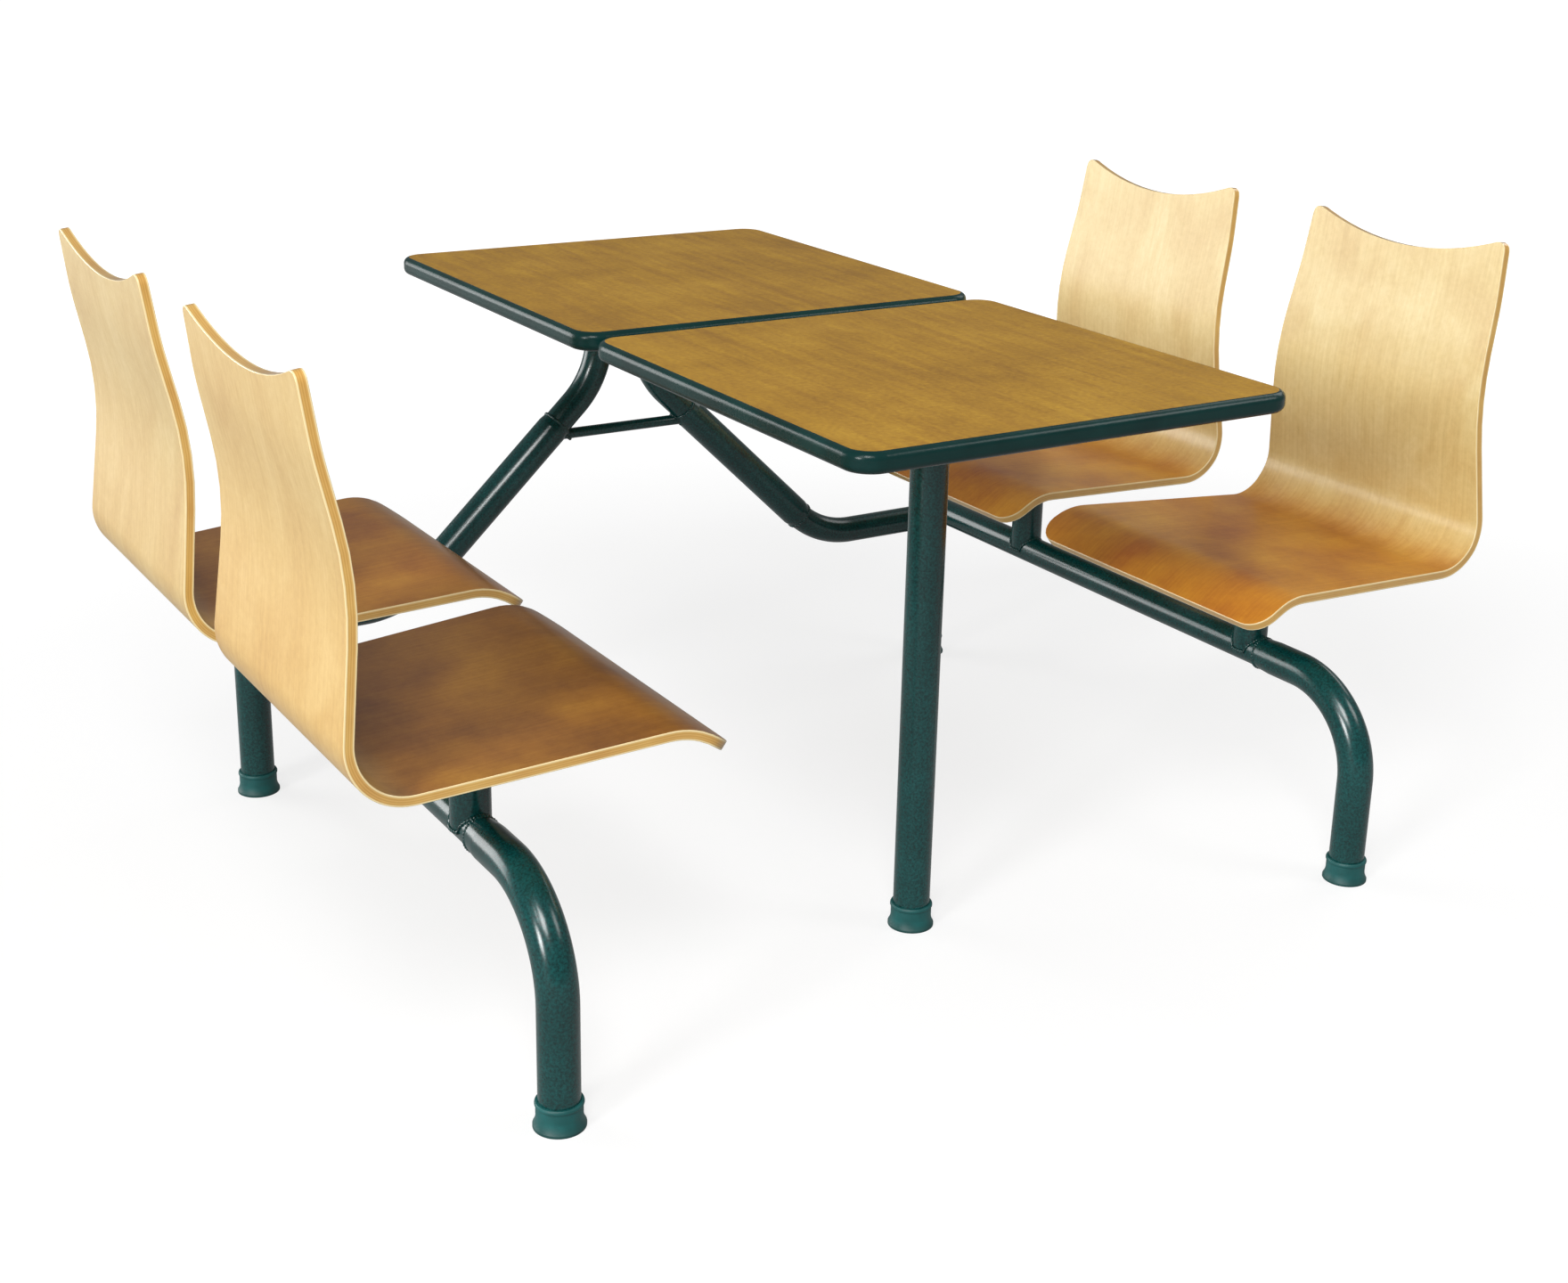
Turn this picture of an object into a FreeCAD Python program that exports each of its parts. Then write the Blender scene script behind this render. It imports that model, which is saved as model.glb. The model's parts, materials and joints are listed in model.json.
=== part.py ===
import FreeCAD, Part
import math
import os

from FreeCAD import Vector

# A four-place dining table with its seats attached: two table tops and four bent plywood seats,
# carried by one frame of round steel tube. Millimetres throughout.
#
# X runs across the table, from the left seats to the right ones. Y runs along it, from the near
# end to the far end. Z is up. The origin is on the floor, under the middle of the gap between
# the two tops. Each seat is drawn about its own swivel axis, facing -X, and then put in place.

# ---- Driving dimensions ----------------------------------------------------------------------

# Table tops
TABLE_HEIGHT = 750.0
TOP_WIDTH = 614.0            # across, along X: a 600 board and its edge band
TOP_LENGTH = 614.0           # each top, along Y
TOP_GAP = 20.0
TOP_THICKNESS = 25.0
TOP_CORNER_RADIUS = 35.0
LAMINATE_THICKNESS = 1.0
EDGE_BAND_WIDTH = 8.0
EDGE_BAND_ROUNDING = 9.0

# Steel tube, in two sizes: the slim tube plugs into the stout one
STOUT_TUBE = 48.0
STOUT_WALL = 2.5
SLIM_TUBE = 42.0
SLIM_WALL = 2.0
PLUG_IN = 45.0               # how far a slim tube reaches into a stout one
SWAGE_WALL = 1.2             # of a stout tube's reduced end, at its mouth
LEG_SWAGE = 25.0
STRUT_SWAGE = 12.0

# Where the frame stands
SEAT_LINE_X = 600.0          # the seat beams and outer legs, each side of the middle
NEAR_LEG_Y = -512.0
FAR_LEG_Y = 498.0
CENTRE_LEG_Y = -321.0
BEAM_HEIGHT = 268.0          # centre of the seat beams
CROSS_RUN_HEIGHT = 250.0     # centre of the level run under the far top
NEAR_LEG_BEND = 123.0
NEAR_LEG_END_Y = -343.0      # where the near leg starts to close down onto the slim beam

# The raking struts under the far top, as one side's centre line in X and Z
STRUT_LOW_JOINT = (320.0, 297.0)
STRUT_HIGH_JOINT = (118.0, 490.0)
STRUT_UPRIGHT_X = 37.0
STRUT_LOW_BEND = 150.0
STRUT_HIGH_BEND = 140.0
TIE_BAR = 16.0
TIE_BAR_HEIGHT = 480.0

# Under-frame below the tops
RAIL_WIDTH = 40.0
RAIL_DEPTH = 20.0
RAIL_WALL = 1.5
RAIL_X = 180.0
RAIL_LENGTH = 1100.0
MIDDLE_CROSS_RAIL_Y = 110.0
HEAD_PLATE = 5.0
TOP_SCREW_ROWS_Y = (60.0, 317.0, 530.0)
TOP_SCREW = 5.0
TOP_SCREW_REACH = 16.0       # into the core board

# Feet
FOOT_BASE = 60.0
FOOT_WAIST = 53.0
FOOT_BEAD = 55.5
FOOT_HEIGHT = 32.0
FOOT_FLOOR = 5.0

# Seats: where they stand, and the shell's under and rear face as (outwards, up) corners. The pan
# is straight from the lip's bend to the heel's, and slopes down to the rear.
SEAT_POST_Y = {"near": -289.0, "far": 234.0}
SHELL_THICKNESS = 12.0
LIP_TIP = (-224.0, 384.0)
LIP_BEND = (-164.0, 428.4)
HEEL_BEND = (227.0, 404.0)
LUMBAR_BEND = (200.5, 648.0)
SHOULDER_BEND = (228.0, 779.0)
BACK_TOP = (241.5, 884.0)
SHELL_BENDS = (80.0, 71.0, 400.0, 500.0)
SHELL_FRONT = -211.0         # the lip, cut square
SHELL_TOP = 866.0            # the tips of the top corners
SHELL_TOP_DIP = 34.0
HALF_WIDTH_LIP = 231.0
HALF_WIDTH_HEEL = 207.0
HALF_WIDTH_TOP = 176.0
SHELL_FRONT_CORNER = 36.0
SHELL_TOP_CORNER = 12.0

# Seat swivel, inside and on top of each seat post
POST_TOP = 407.0
SPINDLE = 25.0
SPINDLE_BOTTOM = 322.0
SPINDLE_HEAD = 44.0
BUSH_FLANGE = 3.0
PLATE_THICKNESS = 4.0
PLATE_LENGTH = 150.0
PLATE_WIDTH = 130.0
RUNNING_CLEARANCE = 0.05     # spindle in its bushes, on the radius
THRUST_CLEARANCE = 0.1
STOP_PIN = 5.0
STOP_PIN_HEIGHT = 402.5
STOP_PIN_REACH = 17.5
SWIVEL_LIMIT = 90.0          # each way, degrees
SEAT_SCREW = 6.0
SEAT_SCREW_GRID = (55.0, 45.0)
SEAT_SCREW_REACH = 8.5       # into the shell
SPRING_WIRE = 3.0
SPRING_RADIUS = 17.0
SPRING_TURNS = 6

# ---- Worked out from the driving dimensions --------------------------------------------------

TOP_UNDERSIDE = TABLE_HEIGHT - TOP_THICKNESS
CORE_TOP = TABLE_HEIGHT - LAMINATE_THICKNESS
TOP_CENTRE_Y = (TOP_GAP + TOP_LENGTH) / 2
RAIL_UNDERSIDE = TOP_UNDERSIDE - RAIL_DEPTH
FRAME_HEAD = RAIL_UNDERSIDE - HEAD_PLATE
STOUT_BORE = STOUT_TUBE - 2 * STOUT_WALL
SLIM_BORE = SLIM_TUBE - 2 * SLIM_WALL
HEAD_UNDERSIDE = POST_TOP + BUSH_FLANGE
PAN_SLOPE = (LIP_BEND[1] - HEEL_BEND[1]) / (HEEL_BEND[0] - LIP_BEND[0])
PAN_HEIGHT = LIP_BEND[1] + LIP_BEND[0] * PAN_SLOPE   # the pan's underside at the swivel axis
PAN_TILT = math.degrees(math.atan(PAN_SLOPE))
PLATE_BOTTOM = PAN_HEIGHT - PLATE_THICKNESS
UP = Vector(0, 0, 1)
SIDES = {"left": -1, "right": 1}


# ---- Shapes used more than once --------------------------------------------------------------

def bent_path(points, radii):
    """A wire through the points, with a tangent arc of the given radius at each inner one."""
    edges = []
    start = points[0]
    for before, corner, after, radius in zip(points, points[1:], points[2:], radii):
        back = (before - corner).normalize()
        ahead = (after - corner).normalize()
        half_turn = (math.pi - back.getAngle(ahead)) / 2
        reach = radius * math.tan(half_turn)
        crown = radius / math.cos(half_turn) - radius
        arc_start = corner + back * reach
        arc_end = corner + ahead * reach
        arc_middle = corner + (back + ahead).normalize() * crown
        edges.append(Part.LineSegment(start, arc_start).toShape())
        edges.append(Part.Arc(arc_start, arc_middle, arc_end).toShape())
        start = arc_end
    edges.append(Part.LineSegment(start, points[-1]).toShape())
    return Part.Wire(edges)


def bent_rod(points, radii, diameter):
    """A solid round rod along a bent path."""
    ring = Part.Circle(points[0], points[1] - points[0], diameter / 2).toShape()
    return bent_path(points, radii).makePipeShell([Part.Wire(ring)], True, False)


def straight_rod(start, end, diameter):
    """A solid round rod between two points."""
    run = end - start
    return Part.makeCylinder(diameter / 2, run.Length, start, run)


def bent_tube(points, radii, diameter, wall):
    """A round tube along a bent path."""
    return bent_rod(points, radii, diameter).cut(bent_rod(points, radii, diameter - 2 * wall))


def straight_tube(start, end, diameter, wall):
    """A round tube between two points."""
    return straight_rod(start, end, diameter).cut(straight_rod(start, end, diameter - 2 * wall))


def swage(mouth, direction, length):
    """The form of a stout tube's end where it closes down onto a slim tube, as a solid cone."""
    return Part.makeCone(STOUT_TUBE / 2, SLIM_TUBE / 2 + SWAGE_WALL, length, mouth, direction)


def ring(outer_radius, inner_radius, bottom, top):
    """A flat-ended ring about the Z axis."""
    outer = Part.makeCylinder(outer_radius, top - bottom, Vector(0, 0, bottom))
    return outer.cut(Part.makeCylinder(inner_radius, top - bottom, Vector(0, 0, bottom)))


def rounded_plate(size_x, size_y, corner_radius, bottom, thickness):
    """A flat plate about the Z axis, with rounded upright corners."""
    block = Part.makeBox(size_x, size_y, thickness, Vector(-size_x / 2, -size_y / 2, bottom))
    uprights = [edge for edge in block.Edges if edge.BoundBox.ZLength > thickness / 2]
    return block.makeFillet(corner_radius, uprights)


def box_between(low, high):
    """A block from its lowest corner to its highest."""
    size = Vector(*high) - Vector(*low)
    return Part.makeBox(size.x, size.y, size.z, Vector(*low))


# ---- Table tops ------------------------------------------------------------------------------

def top_screw_places(end_sign):
    """Where the screws go up into one top: three to each long rail."""
    return [(side * RAIL_X, end_sign * row) for side in SIDES.values() for row in TOP_SCREW_ROWS_Y]


def top_core(end_sign):
    """Core board of one top, with blind pilot holes for its screws."""
    board = rounded_plate(
        TOP_WIDTH - 2 * EDGE_BAND_WIDTH,
        TOP_LENGTH - 2 * EDGE_BAND_WIDTH,
        TOP_CORNER_RADIUS - EDGE_BAND_WIDTH,
        TOP_UNDERSIDE,
        CORE_TOP - TOP_UNDERSIDE,
    )
    board.translate(Vector(0, end_sign * TOP_CENTRE_Y, 0))
    for x, y in top_screw_places(end_sign):
        foot = Vector(x, y, TOP_UNDERSIDE)
        board = board.cut(straight_rod(foot, foot + UP * (TOP_SCREW_REACH + 1), TOP_SCREW + 0.2))
    return board


def top_laminate(end_sign):
    """The wood-look laminate on one top."""
    sheet = rounded_plate(
        TOP_WIDTH - 2 * EDGE_BAND_WIDTH,
        TOP_LENGTH - 2 * EDGE_BAND_WIDTH,
        TOP_CORNER_RADIUS - EDGE_BAND_WIDTH,
        CORE_TOP,
        LAMINATE_THICKNESS,
    )
    sheet.translate(Vector(0, end_sign * TOP_CENTRE_Y, 0))
    return sheet


def top_edge_band(end_sign):
    """The moulded band round one top, rounded above and below."""
    outer = rounded_plate(
        TOP_WIDTH, TOP_LENGTH, TOP_CORNER_RADIUS, TOP_UNDERSIDE, TOP_THICKNESS
    )
    rims = [edge for edge in outer.Edges if edge.BoundBox.ZLength < 1e-6]
    outer = outer.makeFillet(EDGE_BAND_ROUNDING, rims)
    inside = rounded_plate(
        TOP_WIDTH - 2 * EDGE_BAND_WIDTH,
        TOP_LENGTH - 2 * EDGE_BAND_WIDTH,
        TOP_CORNER_RADIUS - EDGE_BAND_WIDTH,
        TOP_UNDERSIDE,
        TOP_THICKNESS,
    )
    band = outer.cut(inside)
    band.translate(Vector(0, end_sign * TOP_CENTRE_Y, 0))
    return band


# ---- Under-frame -----------------------------------------------------------------------------

def long_rail(side):
    """A rectangular tube along the table, drilled for the top screws."""
    x = side * RAIL_X
    half = RAIL_WIDTH / 2
    end = RAIL_LENGTH / 2
    rail = box_between((x - half, -end, RAIL_UNDERSIDE), (x + half, end, TOP_UNDERSIDE))
    hollow = box_between(
        (x - half + RAIL_WALL, -end, RAIL_UNDERSIDE + RAIL_WALL),
        (x + half - RAIL_WALL, end, TOP_UNDERSIDE - RAIL_WALL),
    )
    rail = rail.cut(hollow)
    for end_sign in (-1, 1):
        for row in TOP_SCREW_ROWS_Y:
            foot = Vector(x, end_sign * row, RAIL_UNDERSIDE)
            rail = rail.cut(straight_rod(foot, foot + UP * RAIL_DEPTH, TOP_SCREW + 0.6))
    return rail


def cross_rail(y):
    """A rectangular tube between the long rails."""
    reach = RAIL_X - RAIL_WIDTH / 2
    half = RAIL_WIDTH / 2
    rail = box_between((-reach, y - half, RAIL_UNDERSIDE), (reach, y + half, TOP_UNDERSIDE))
    hollow = box_between(
        (-reach, y - half + RAIL_WALL, RAIL_UNDERSIDE + RAIL_WALL),
        (reach, y + half - RAIL_WALL, TOP_UNDERSIDE - RAIL_WALL),
    )
    return rail.cut(hollow)


def rail_end_plugs():
    """The four push-in plugs that close the long rails."""
    plugs = []
    half = RAIL_WIDTH / 2
    wall = RAIL_WALL + 0.1
    cap = 3.0
    tongue = 12.0
    for side in SIDES.values():
        for end_sign in (-1, 1):
            x = side * RAIL_X
            y = end_sign * RAIL_LENGTH / 2
            near, far = sorted((y, y + end_sign * cap))
            head = box_between((x - half, near, RAIL_UNDERSIDE), (x + half, far, TOP_UNDERSIDE))
            near, far = sorted((y, y - end_sign * tongue))
            stem = box_between(
                (x - half + wall, near, RAIL_UNDERSIDE + wall),
                (x + half - wall, far, TOP_UNDERSIDE - wall),
            )
            plugs.append(head.fuse(stem).removeSplitter())
    return Part.makeCompound(plugs)


def head_plate(size_x, size_y, y):
    """A welded plate between the frame's uprights and a cross rail."""
    plate = rounded_plate(size_x, size_y, 6.0, FRAME_HEAD, HEAD_PLATE)
    plate.translate(Vector(0, y, 0))
    return plate


def top_screws():
    """Pan-head screws up through the long rails into both tops."""
    screws = []
    for end_sign in (-1, 1):
        for x, y in top_screw_places(end_sign):
            seat = Vector(x, y, RAIL_UNDERSIDE)
            head = straight_rod(seat - UP * 3, seat, 9.5)
            shank = straight_rod(seat, seat + UP * (RAIL_DEPTH + TOP_SCREW_REACH), TOP_SCREW)
            screws.append(head.fuse(shank))
    return Part.makeCompound(screws)


# ---- Legs, feet and beams --------------------------------------------------------------------

def near_leg(side):
    """The near outer leg: up from its foot, round into the line of the seat beam, and onto it."""
    x = side * SEAT_LINE_X
    points = [
        Vector(x, NEAR_LEG_Y, FOOT_FLOOR),
        Vector(x, NEAR_LEG_Y, BEAM_HEIGHT),
        Vector(x, NEAR_LEG_END_Y, BEAM_HEIGHT),
    ]
    end = swage(points[-1], Vector(0, 1, 0), LEG_SWAGE).cut(beam_rod(side))
    return bent_tube(points, [NEAR_LEG_BEND], STOUT_TUBE, STOUT_WALL).fuse(end).removeSplitter()


FAR_LEG_TOP = BEAM_HEIGHT + STOUT_TUBE / 2 + 3


def far_leg_rod(side):
    """The far leg as a solid bar, for fitting other tubes to it."""
    foot = Vector(side * SEAT_LINE_X, FAR_LEG_Y, FOOT_FLOOR)
    return straight_rod(foot, foot + UP * (FAR_LEG_TOP - FOOT_FLOOR), STOUT_TUBE)


def far_leg(side):
    """The far outer leg, a straight upright that the beam and the cross run are welded to."""
    foot = Vector(side * SEAT_LINE_X, FAR_LEG_Y, FOOT_FLOOR)
    return straight_tube(foot, foot + UP * (FAR_LEG_TOP - FOOT_FLOOR), STOUT_TUBE, STOUT_WALL)


def far_leg_caps():
    """The two plugs that close the tops of the far legs."""
    caps = []
    for side in SIDES.values():
        top = Vector(side * SEAT_LINE_X, FAR_LEG_Y, FAR_LEG_TOP)
        head = straight_rod(top, top + UP * 4, STOUT_TUBE)
        rim = [edge for edge in head.Edges if edge.BoundBox.ZMin > FAR_LEG_TOP + 3.9]
        stem = straight_rod(top - UP * 15, top, STOUT_BORE - 0.2)
        caps.append(head.makeFillet(2.5, rim).fuse(stem))
    return Part.makeCompound(caps)


def centre_leg():
    """The single leg under the near top."""
    foot = Vector(0, CENTRE_LEG_Y, FOOT_FLOOR)
    return straight_tube(foot, Vector(0, CENTRE_LEG_Y, FRAME_HEAD), STOUT_TUBE, STOUT_WALL)


def foot_boot(x, y):
    """A moulded boot: a flared base, a waist and a bead round the mouth."""
    base = FOOT_BASE / 2
    waist = FOOT_WAIST / 2
    bead = FOOT_BEAD / 2
    bore = STOUT_TUBE / 2 + 0.1

    def at(radius, height):
        return Vector(radius, 0, height)

    bead_low = FOOT_HEIGHT - 6
    outline = [
        Part.LineSegment(at(0, 0), at(base, 0)),
        Part.LineSegment(at(base, 0), at(base, 3)),
        Part.Arc(at(base, 3), at(waist + 0.8, 9), at(waist, 17)),
        Part.LineSegment(at(waist, 17), at(waist, bead_low)),
        Part.Arc(at(waist, bead_low), at(bead, bead_low + 3), at(waist, FOOT_HEIGHT)),
        Part.LineSegment(at(waist, FOOT_HEIGHT), at(bore, FOOT_HEIGHT)),
        Part.LineSegment(at(bore, FOOT_HEIGHT), at(bore, FOOT_FLOOR)),
        Part.LineSegment(at(bore, FOOT_FLOOR), at(0, FOOT_FLOOR)),
        Part.LineSegment(at(0, FOOT_FLOOR), at(0, 0)),
    ]
    section = Part.Face(Part.Wire([piece.toShape() for piece in outline]))
    boot = section.revolve(Vector(0, 0, 0), UP, 360)
    boot.translate(Vector(x, y, 0))
    return boot


def beam_rod(side):
    """A seat beam as a solid bar, for fitting other tubes to it."""
    start = Vector(side * SEAT_LINE_X, NEAR_LEG_END_Y - PLUG_IN, BEAM_HEIGHT)
    return straight_rod(start, Vector(start.x, FAR_LEG_Y, BEAM_HEIGHT), SLIM_TUBE)


def seat_beam(side):
    """A slim beam from inside the near leg to the side of the far leg."""
    start = Vector(side * SEAT_LINE_X, NEAR_LEG_END_Y - PLUG_IN, BEAM_HEIGHT)
    end = Vector(start.x, FAR_LEG_Y, BEAM_HEIGHT)
    beam = straight_tube(start, end, SLIM_TUBE, SLIM_WALL)
    return beam.cut(far_leg_rod(side)).cut(cross_run_rod(side))


# ---- Raking struts under the far top ---------------------------------------------------------

def strut_point(side, place):
    """A point of the strut's centre line, given for the right-hand side in X and Z."""
    return Vector(side * place[0], FAR_LEG_Y, place[1])


STRUT_SLOPE = (
    (STRUT_HIGH_JOINT[1] - STRUT_LOW_JOINT[1]) / (STRUT_LOW_JOINT[0] - STRUT_HIGH_JOINT[0])
)
STRUT_RUN = math.cos(math.atan(STRUT_SLOPE)) * PLUG_IN
STRUT_RISE = math.sin(math.atan(STRUT_SLOPE)) * PLUG_IN
LOW_CORNER_X = STRUT_LOW_JOINT[0] + (STRUT_LOW_JOINT[1] - CROSS_RUN_HEIGHT) / STRUT_SLOPE
HIGH_CORNER_Z = STRUT_HIGH_JOINT[1] + (STRUT_HIGH_JOINT[0] - STRUT_UPRIGHT_X) * STRUT_SLOPE


def low_bend_points(side):
    """From the far leg, level under the table, then up the line of the strut."""
    return [
        strut_point(side, (SEAT_LINE_X, CROSS_RUN_HEIGHT)),
        strut_point(side, (LOW_CORNER_X, CROSS_RUN_HEIGHT)),
        strut_point(side, (STRUT_LOW_JOINT[0] - STRUT_RUN, STRUT_LOW_JOINT[1] + STRUT_RISE)),
    ]


def cross_run_rod(side):
    """The level run's outer form as a solid bar, for fitting other tubes to it."""
    return bent_rod(low_bend_points(side), [STRUT_LOW_BEND], SLIM_TUBE)


def strut_low_bend(side):
    """The slim tube from the far leg to the foot of the strut."""
    tube = bent_tube(low_bend_points(side), [STRUT_LOW_BEND], SLIM_TUBE, SLIM_WALL)
    return tube.cut(far_leg_rod(side))


def strut_swages(side):
    """The forms of one strut's two reduced ends, the lower one first."""
    low = strut_point(side, STRUT_LOW_JOINT)
    high = strut_point(side, STRUT_HIGH_JOINT)
    return [swage(low, low - high, STRUT_SWAGE), swage(high, high - low, STRUT_SWAGE)]


def strut(side):
    """The straight stout tube of one strut, closed down onto a slim tube at each end."""
    low = strut_point(side, STRUT_LOW_JOINT)
    high = strut_point(side, STRUT_HIGH_JOINT)
    tube = straight_tube(low, high, STOUT_TUBE, STOUT_WALL)
    low_end, high_end = strut_swages(side)
    tube = tube.fuse(low_end.cut(cross_run_rod(side)))
    return tube.fuse(high_end.cut(high_bend_rod(side))).removeSplitter()


def high_bend_points(side):
    """From inside the strut, up and round to the upright below the far top."""
    return [
        strut_point(side, (STRUT_HIGH_JOINT[0] + STRUT_RUN, STRUT_HIGH_JOINT[1] - STRUT_RISE)),
        strut_point(side, (STRUT_UPRIGHT_X, HIGH_CORNER_Z)),
        strut_point(side, (STRUT_UPRIGHT_X, FRAME_HEAD)),
    ]


def high_bend_rod(side):
    """The upper bend's outer form as a solid bar, for fitting other tubes to it."""
    return bent_rod(high_bend_points(side), [STRUT_HIGH_BEND], SLIM_TUBE)


def strut_high_bend(side):
    """The slim tube from the head of the strut up to the far head plate."""
    return bent_tube(high_bend_points(side), [STRUT_HIGH_BEND], SLIM_TUBE, SLIM_WALL)


def tie_bar():
    """The bar between the struts, notched to fit round both."""
    reach = STRUT_HIGH_JOINT[0]
    start = Vector(-reach, FAR_LEG_Y, TIE_BAR_HEIGHT)
    bar = straight_rod(start, Vector(reach, FAR_LEG_Y, TIE_BAR_HEIGHT), TIE_BAR)
    for side in SIDES.values():
        low = strut_point(side, STRUT_LOW_JOINT)
        high = strut_point(side, STRUT_HIGH_JOINT)
        bar = bar.cut(straight_rod(low, high, STOUT_TUBE)).cut(strut_swages(side)[1])
        bar = bar.cut(high_bend_rod(side))
    middle = [solid for solid in bar.Solids if abs(solid.CenterOfMass.x) < STRUT_UPRIGHT_X]
    return middle[0]


# ---- Seats, each about its own swivel axis ---------------------------------------------------

def side_line(points, radii, distance):
    """The rounded line moved sideways by a distance, its arcs kept concentric."""
    runs = [(after - before).normalize() for before, after in zip(points, points[1:])]
    sideways = [Vector(-run.z, 0, run.x) for run in runs]
    moved = [points[0] + sideways[0] * distance]
    new_radii = []
    for index, corner in enumerate(points[1:-1]):
        across = (sideways[index] + sideways[index + 1]).normalize()
        half_turn = runs[index].getAngle(runs[index + 1]) / 2
        moved.append(corner + across * (distance / math.cos(half_turn)))
        turns_left = sideways[index].dot(runs[index + 1]) > 0
        new_radii.append(radii[index] - distance if turns_left else radii[index] + distance)
    moved.append(points[-1] + sideways[-1] * distance)
    return bent_path(moved, new_radii)


def shell_slab():
    """The bent board before it is cut to its outline."""
    places = (LIP_TIP, LIP_BEND, HEEL_BEND, LUMBAR_BEND, SHOULDER_BEND, BACK_TOP)
    points = [Vector(out, 0, up) for out, up in places]
    under = side_line(points, SHELL_BENDS, 0)
    over = side_line(points, SHELL_BENDS, SHELL_THICKNESS)
    ends = [
        Part.LineSegment(under.Vertexes[0].Point, over.Vertexes[0].Point).toShape(),
        Part.LineSegment(under.Vertexes[-1].Point, over.Vertexes[-1].Point).toShape(),
    ]
    edges = Part.__sortEdges__(under.Edges + over.Edges + ends)
    section = Part.Face(Part.Wire(edges))
    slab = section.extrude(Vector(0, 2 * HALF_WIDTH_LIP + 20, 0))
    slab.translate(Vector(0, -HALF_WIDTH_LIP - 10, 0))
    return slab


def pan_outline():
    """The outline seen from above, as an upright prism."""
    heel = 150.0
    behind = 300.0
    low = 300.0
    outline = [
        Vector(SHELL_FRONT, -HALF_WIDTH_LIP, low),
        Vector(heel, -HALF_WIDTH_HEEL, low),
        Vector(behind, -HALF_WIDTH_HEEL, low),
        Vector(behind, HALF_WIDTH_HEEL, low),
        Vector(heel, HALF_WIDTH_HEEL, low),
        Vector(SHELL_FRONT, HALF_WIDTH_LIP, low),
    ]
    prism = Part.Face(Part.makePolygon(outline + outline[:1])).extrude(UP * 700)
    corners = [
        edge for edge in prism.Edges
        if edge.BoundBox.ZLength > 600 and edge.BoundBox.XMax < SHELL_FRONT + 1
    ]
    return prism.makeFillet(SHELL_FRONT_CORNER, corners)


def back_outline():
    """The outline seen from the front, as a level prism, open below the heel."""
    front = -300.0
    shoulder = 440.0
    wide = 250.0
    low = 300.0

    def at(y, z):
        return Vector(front, y, z)

    tip = at(HALF_WIDTH_TOP, SHELL_TOP)
    far_tip = at(-HALF_WIDTH_TOP, SHELL_TOP)
    lines = [
        (at(-wide, low), at(wide, low)),
        (at(wide, low), at(wide, shoulder)),
        (at(wide, shoulder), at(HALF_WIDTH_HEEL, shoulder)),
        (at(HALF_WIDTH_HEEL, shoulder), tip),
        (far_tip, at(-HALF_WIDTH_HEEL, shoulder)),
        (at(-HALF_WIDTH_HEEL, shoulder), at(-wide, shoulder)),
        (at(-wide, shoulder), at(-wide, low)),
    ]
    edges = [Part.LineSegment(start, end).toShape() for start, end in lines]
    edges.append(Part.Arc(tip, at(0, SHELL_TOP - SHELL_TOP_DIP), far_tip).toShape())
    face = Part.Face(Part.Wire(Part.__sortEdges__(edges)))
    prism = face.extrude(Vector(600, 0, 0))
    tips = [
        edge for edge in prism.Edges
        if edge.BoundBox.XLength > 500 and edge.BoundBox.ZMin > SHELL_TOP - 1
    ]
    return prism.makeFillet(SHELL_TOP_CORNER, tips)


def tilted_to_pan(shape):
    """A shape drawn level under the swivel axis, tilted to lie along the pan."""
    tilted = shape.copy()
    tilted.rotate(Vector(0, 0, PAN_HEIGHT), Vector(0, 1, 0), PAN_TILT)
    return tilted


def screw_places():
    """The four seat screws about the swivel axis."""
    out, across = SEAT_SCREW_GRID
    return [(x, y) for x in (-out, out) for y in (-across, across)]


def seat_shell():
    """The bent plywood seat and back, with blind holes for its screws."""
    shell = shell_slab().common(pan_outline()).common(back_outline())
    for x, y in screw_places():
        foot = Vector(x, y, PAN_HEIGHT - 1)
        hole = straight_rod(foot, foot + UP * (SEAT_SCREW_REACH + 1.5), SEAT_SCREW + 0.3)
        shell = shell.cut(tilted_to_pan(hole))
    return shell


def swivel_plate():
    """The steel plate that the seat shell is screwed to."""
    plate = rounded_plate(PLATE_LENGTH, PLATE_WIDTH, 12.0, PLATE_BOTTOM, PLATE_THICKNESS)
    for x, y in screw_places():
        foot = Vector(x, y, PLATE_BOTTOM)
        plate = plate.cut(straight_rod(foot, foot + UP * PLATE_THICKNESS, SEAT_SCREW + 0.4))
    return tilted_to_pan(plate)


CIRCLIP_BOTTOM = SPINDLE_BOTTOM + 8.5
CIRCLIP_THICKNESS = 1.3


def spindle():
    """The headed shaft that turns in the post, grooved, cross-drilled and faced to the plate."""
    radius = SPINDLE / 2
    shaft = straight_rod(UP * SPINDLE_BOTTOM, UP * HEAD_UNDERSIDE, SPINDLE)
    head = straight_rod(UP * HEAD_UNDERSIDE, UP * PAN_HEIGHT, SPINDLE_HEAD)
    above = box_between((-60, -60, PLATE_BOTTOM), (60, 60, PLATE_BOTTOM + 40))
    head = head.cut(tilted_to_pan(above))
    groove = ring(radius + 1, radius - 1.3, CIRCLIP_BOTTOM - 0.1, CIRCLIP_BOTTOM + CIRCLIP_THICKNESS + 0.1)
    drilling = straight_rod(
        Vector(0, 0, STOP_PIN_HEIGHT), Vector(-radius - 1, 0, STOP_PIN_HEIGHT), STOP_PIN + 0.1
    )
    return shaft.fuse(head).removeSplitter().cut(groove).cut(drilling)


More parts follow.
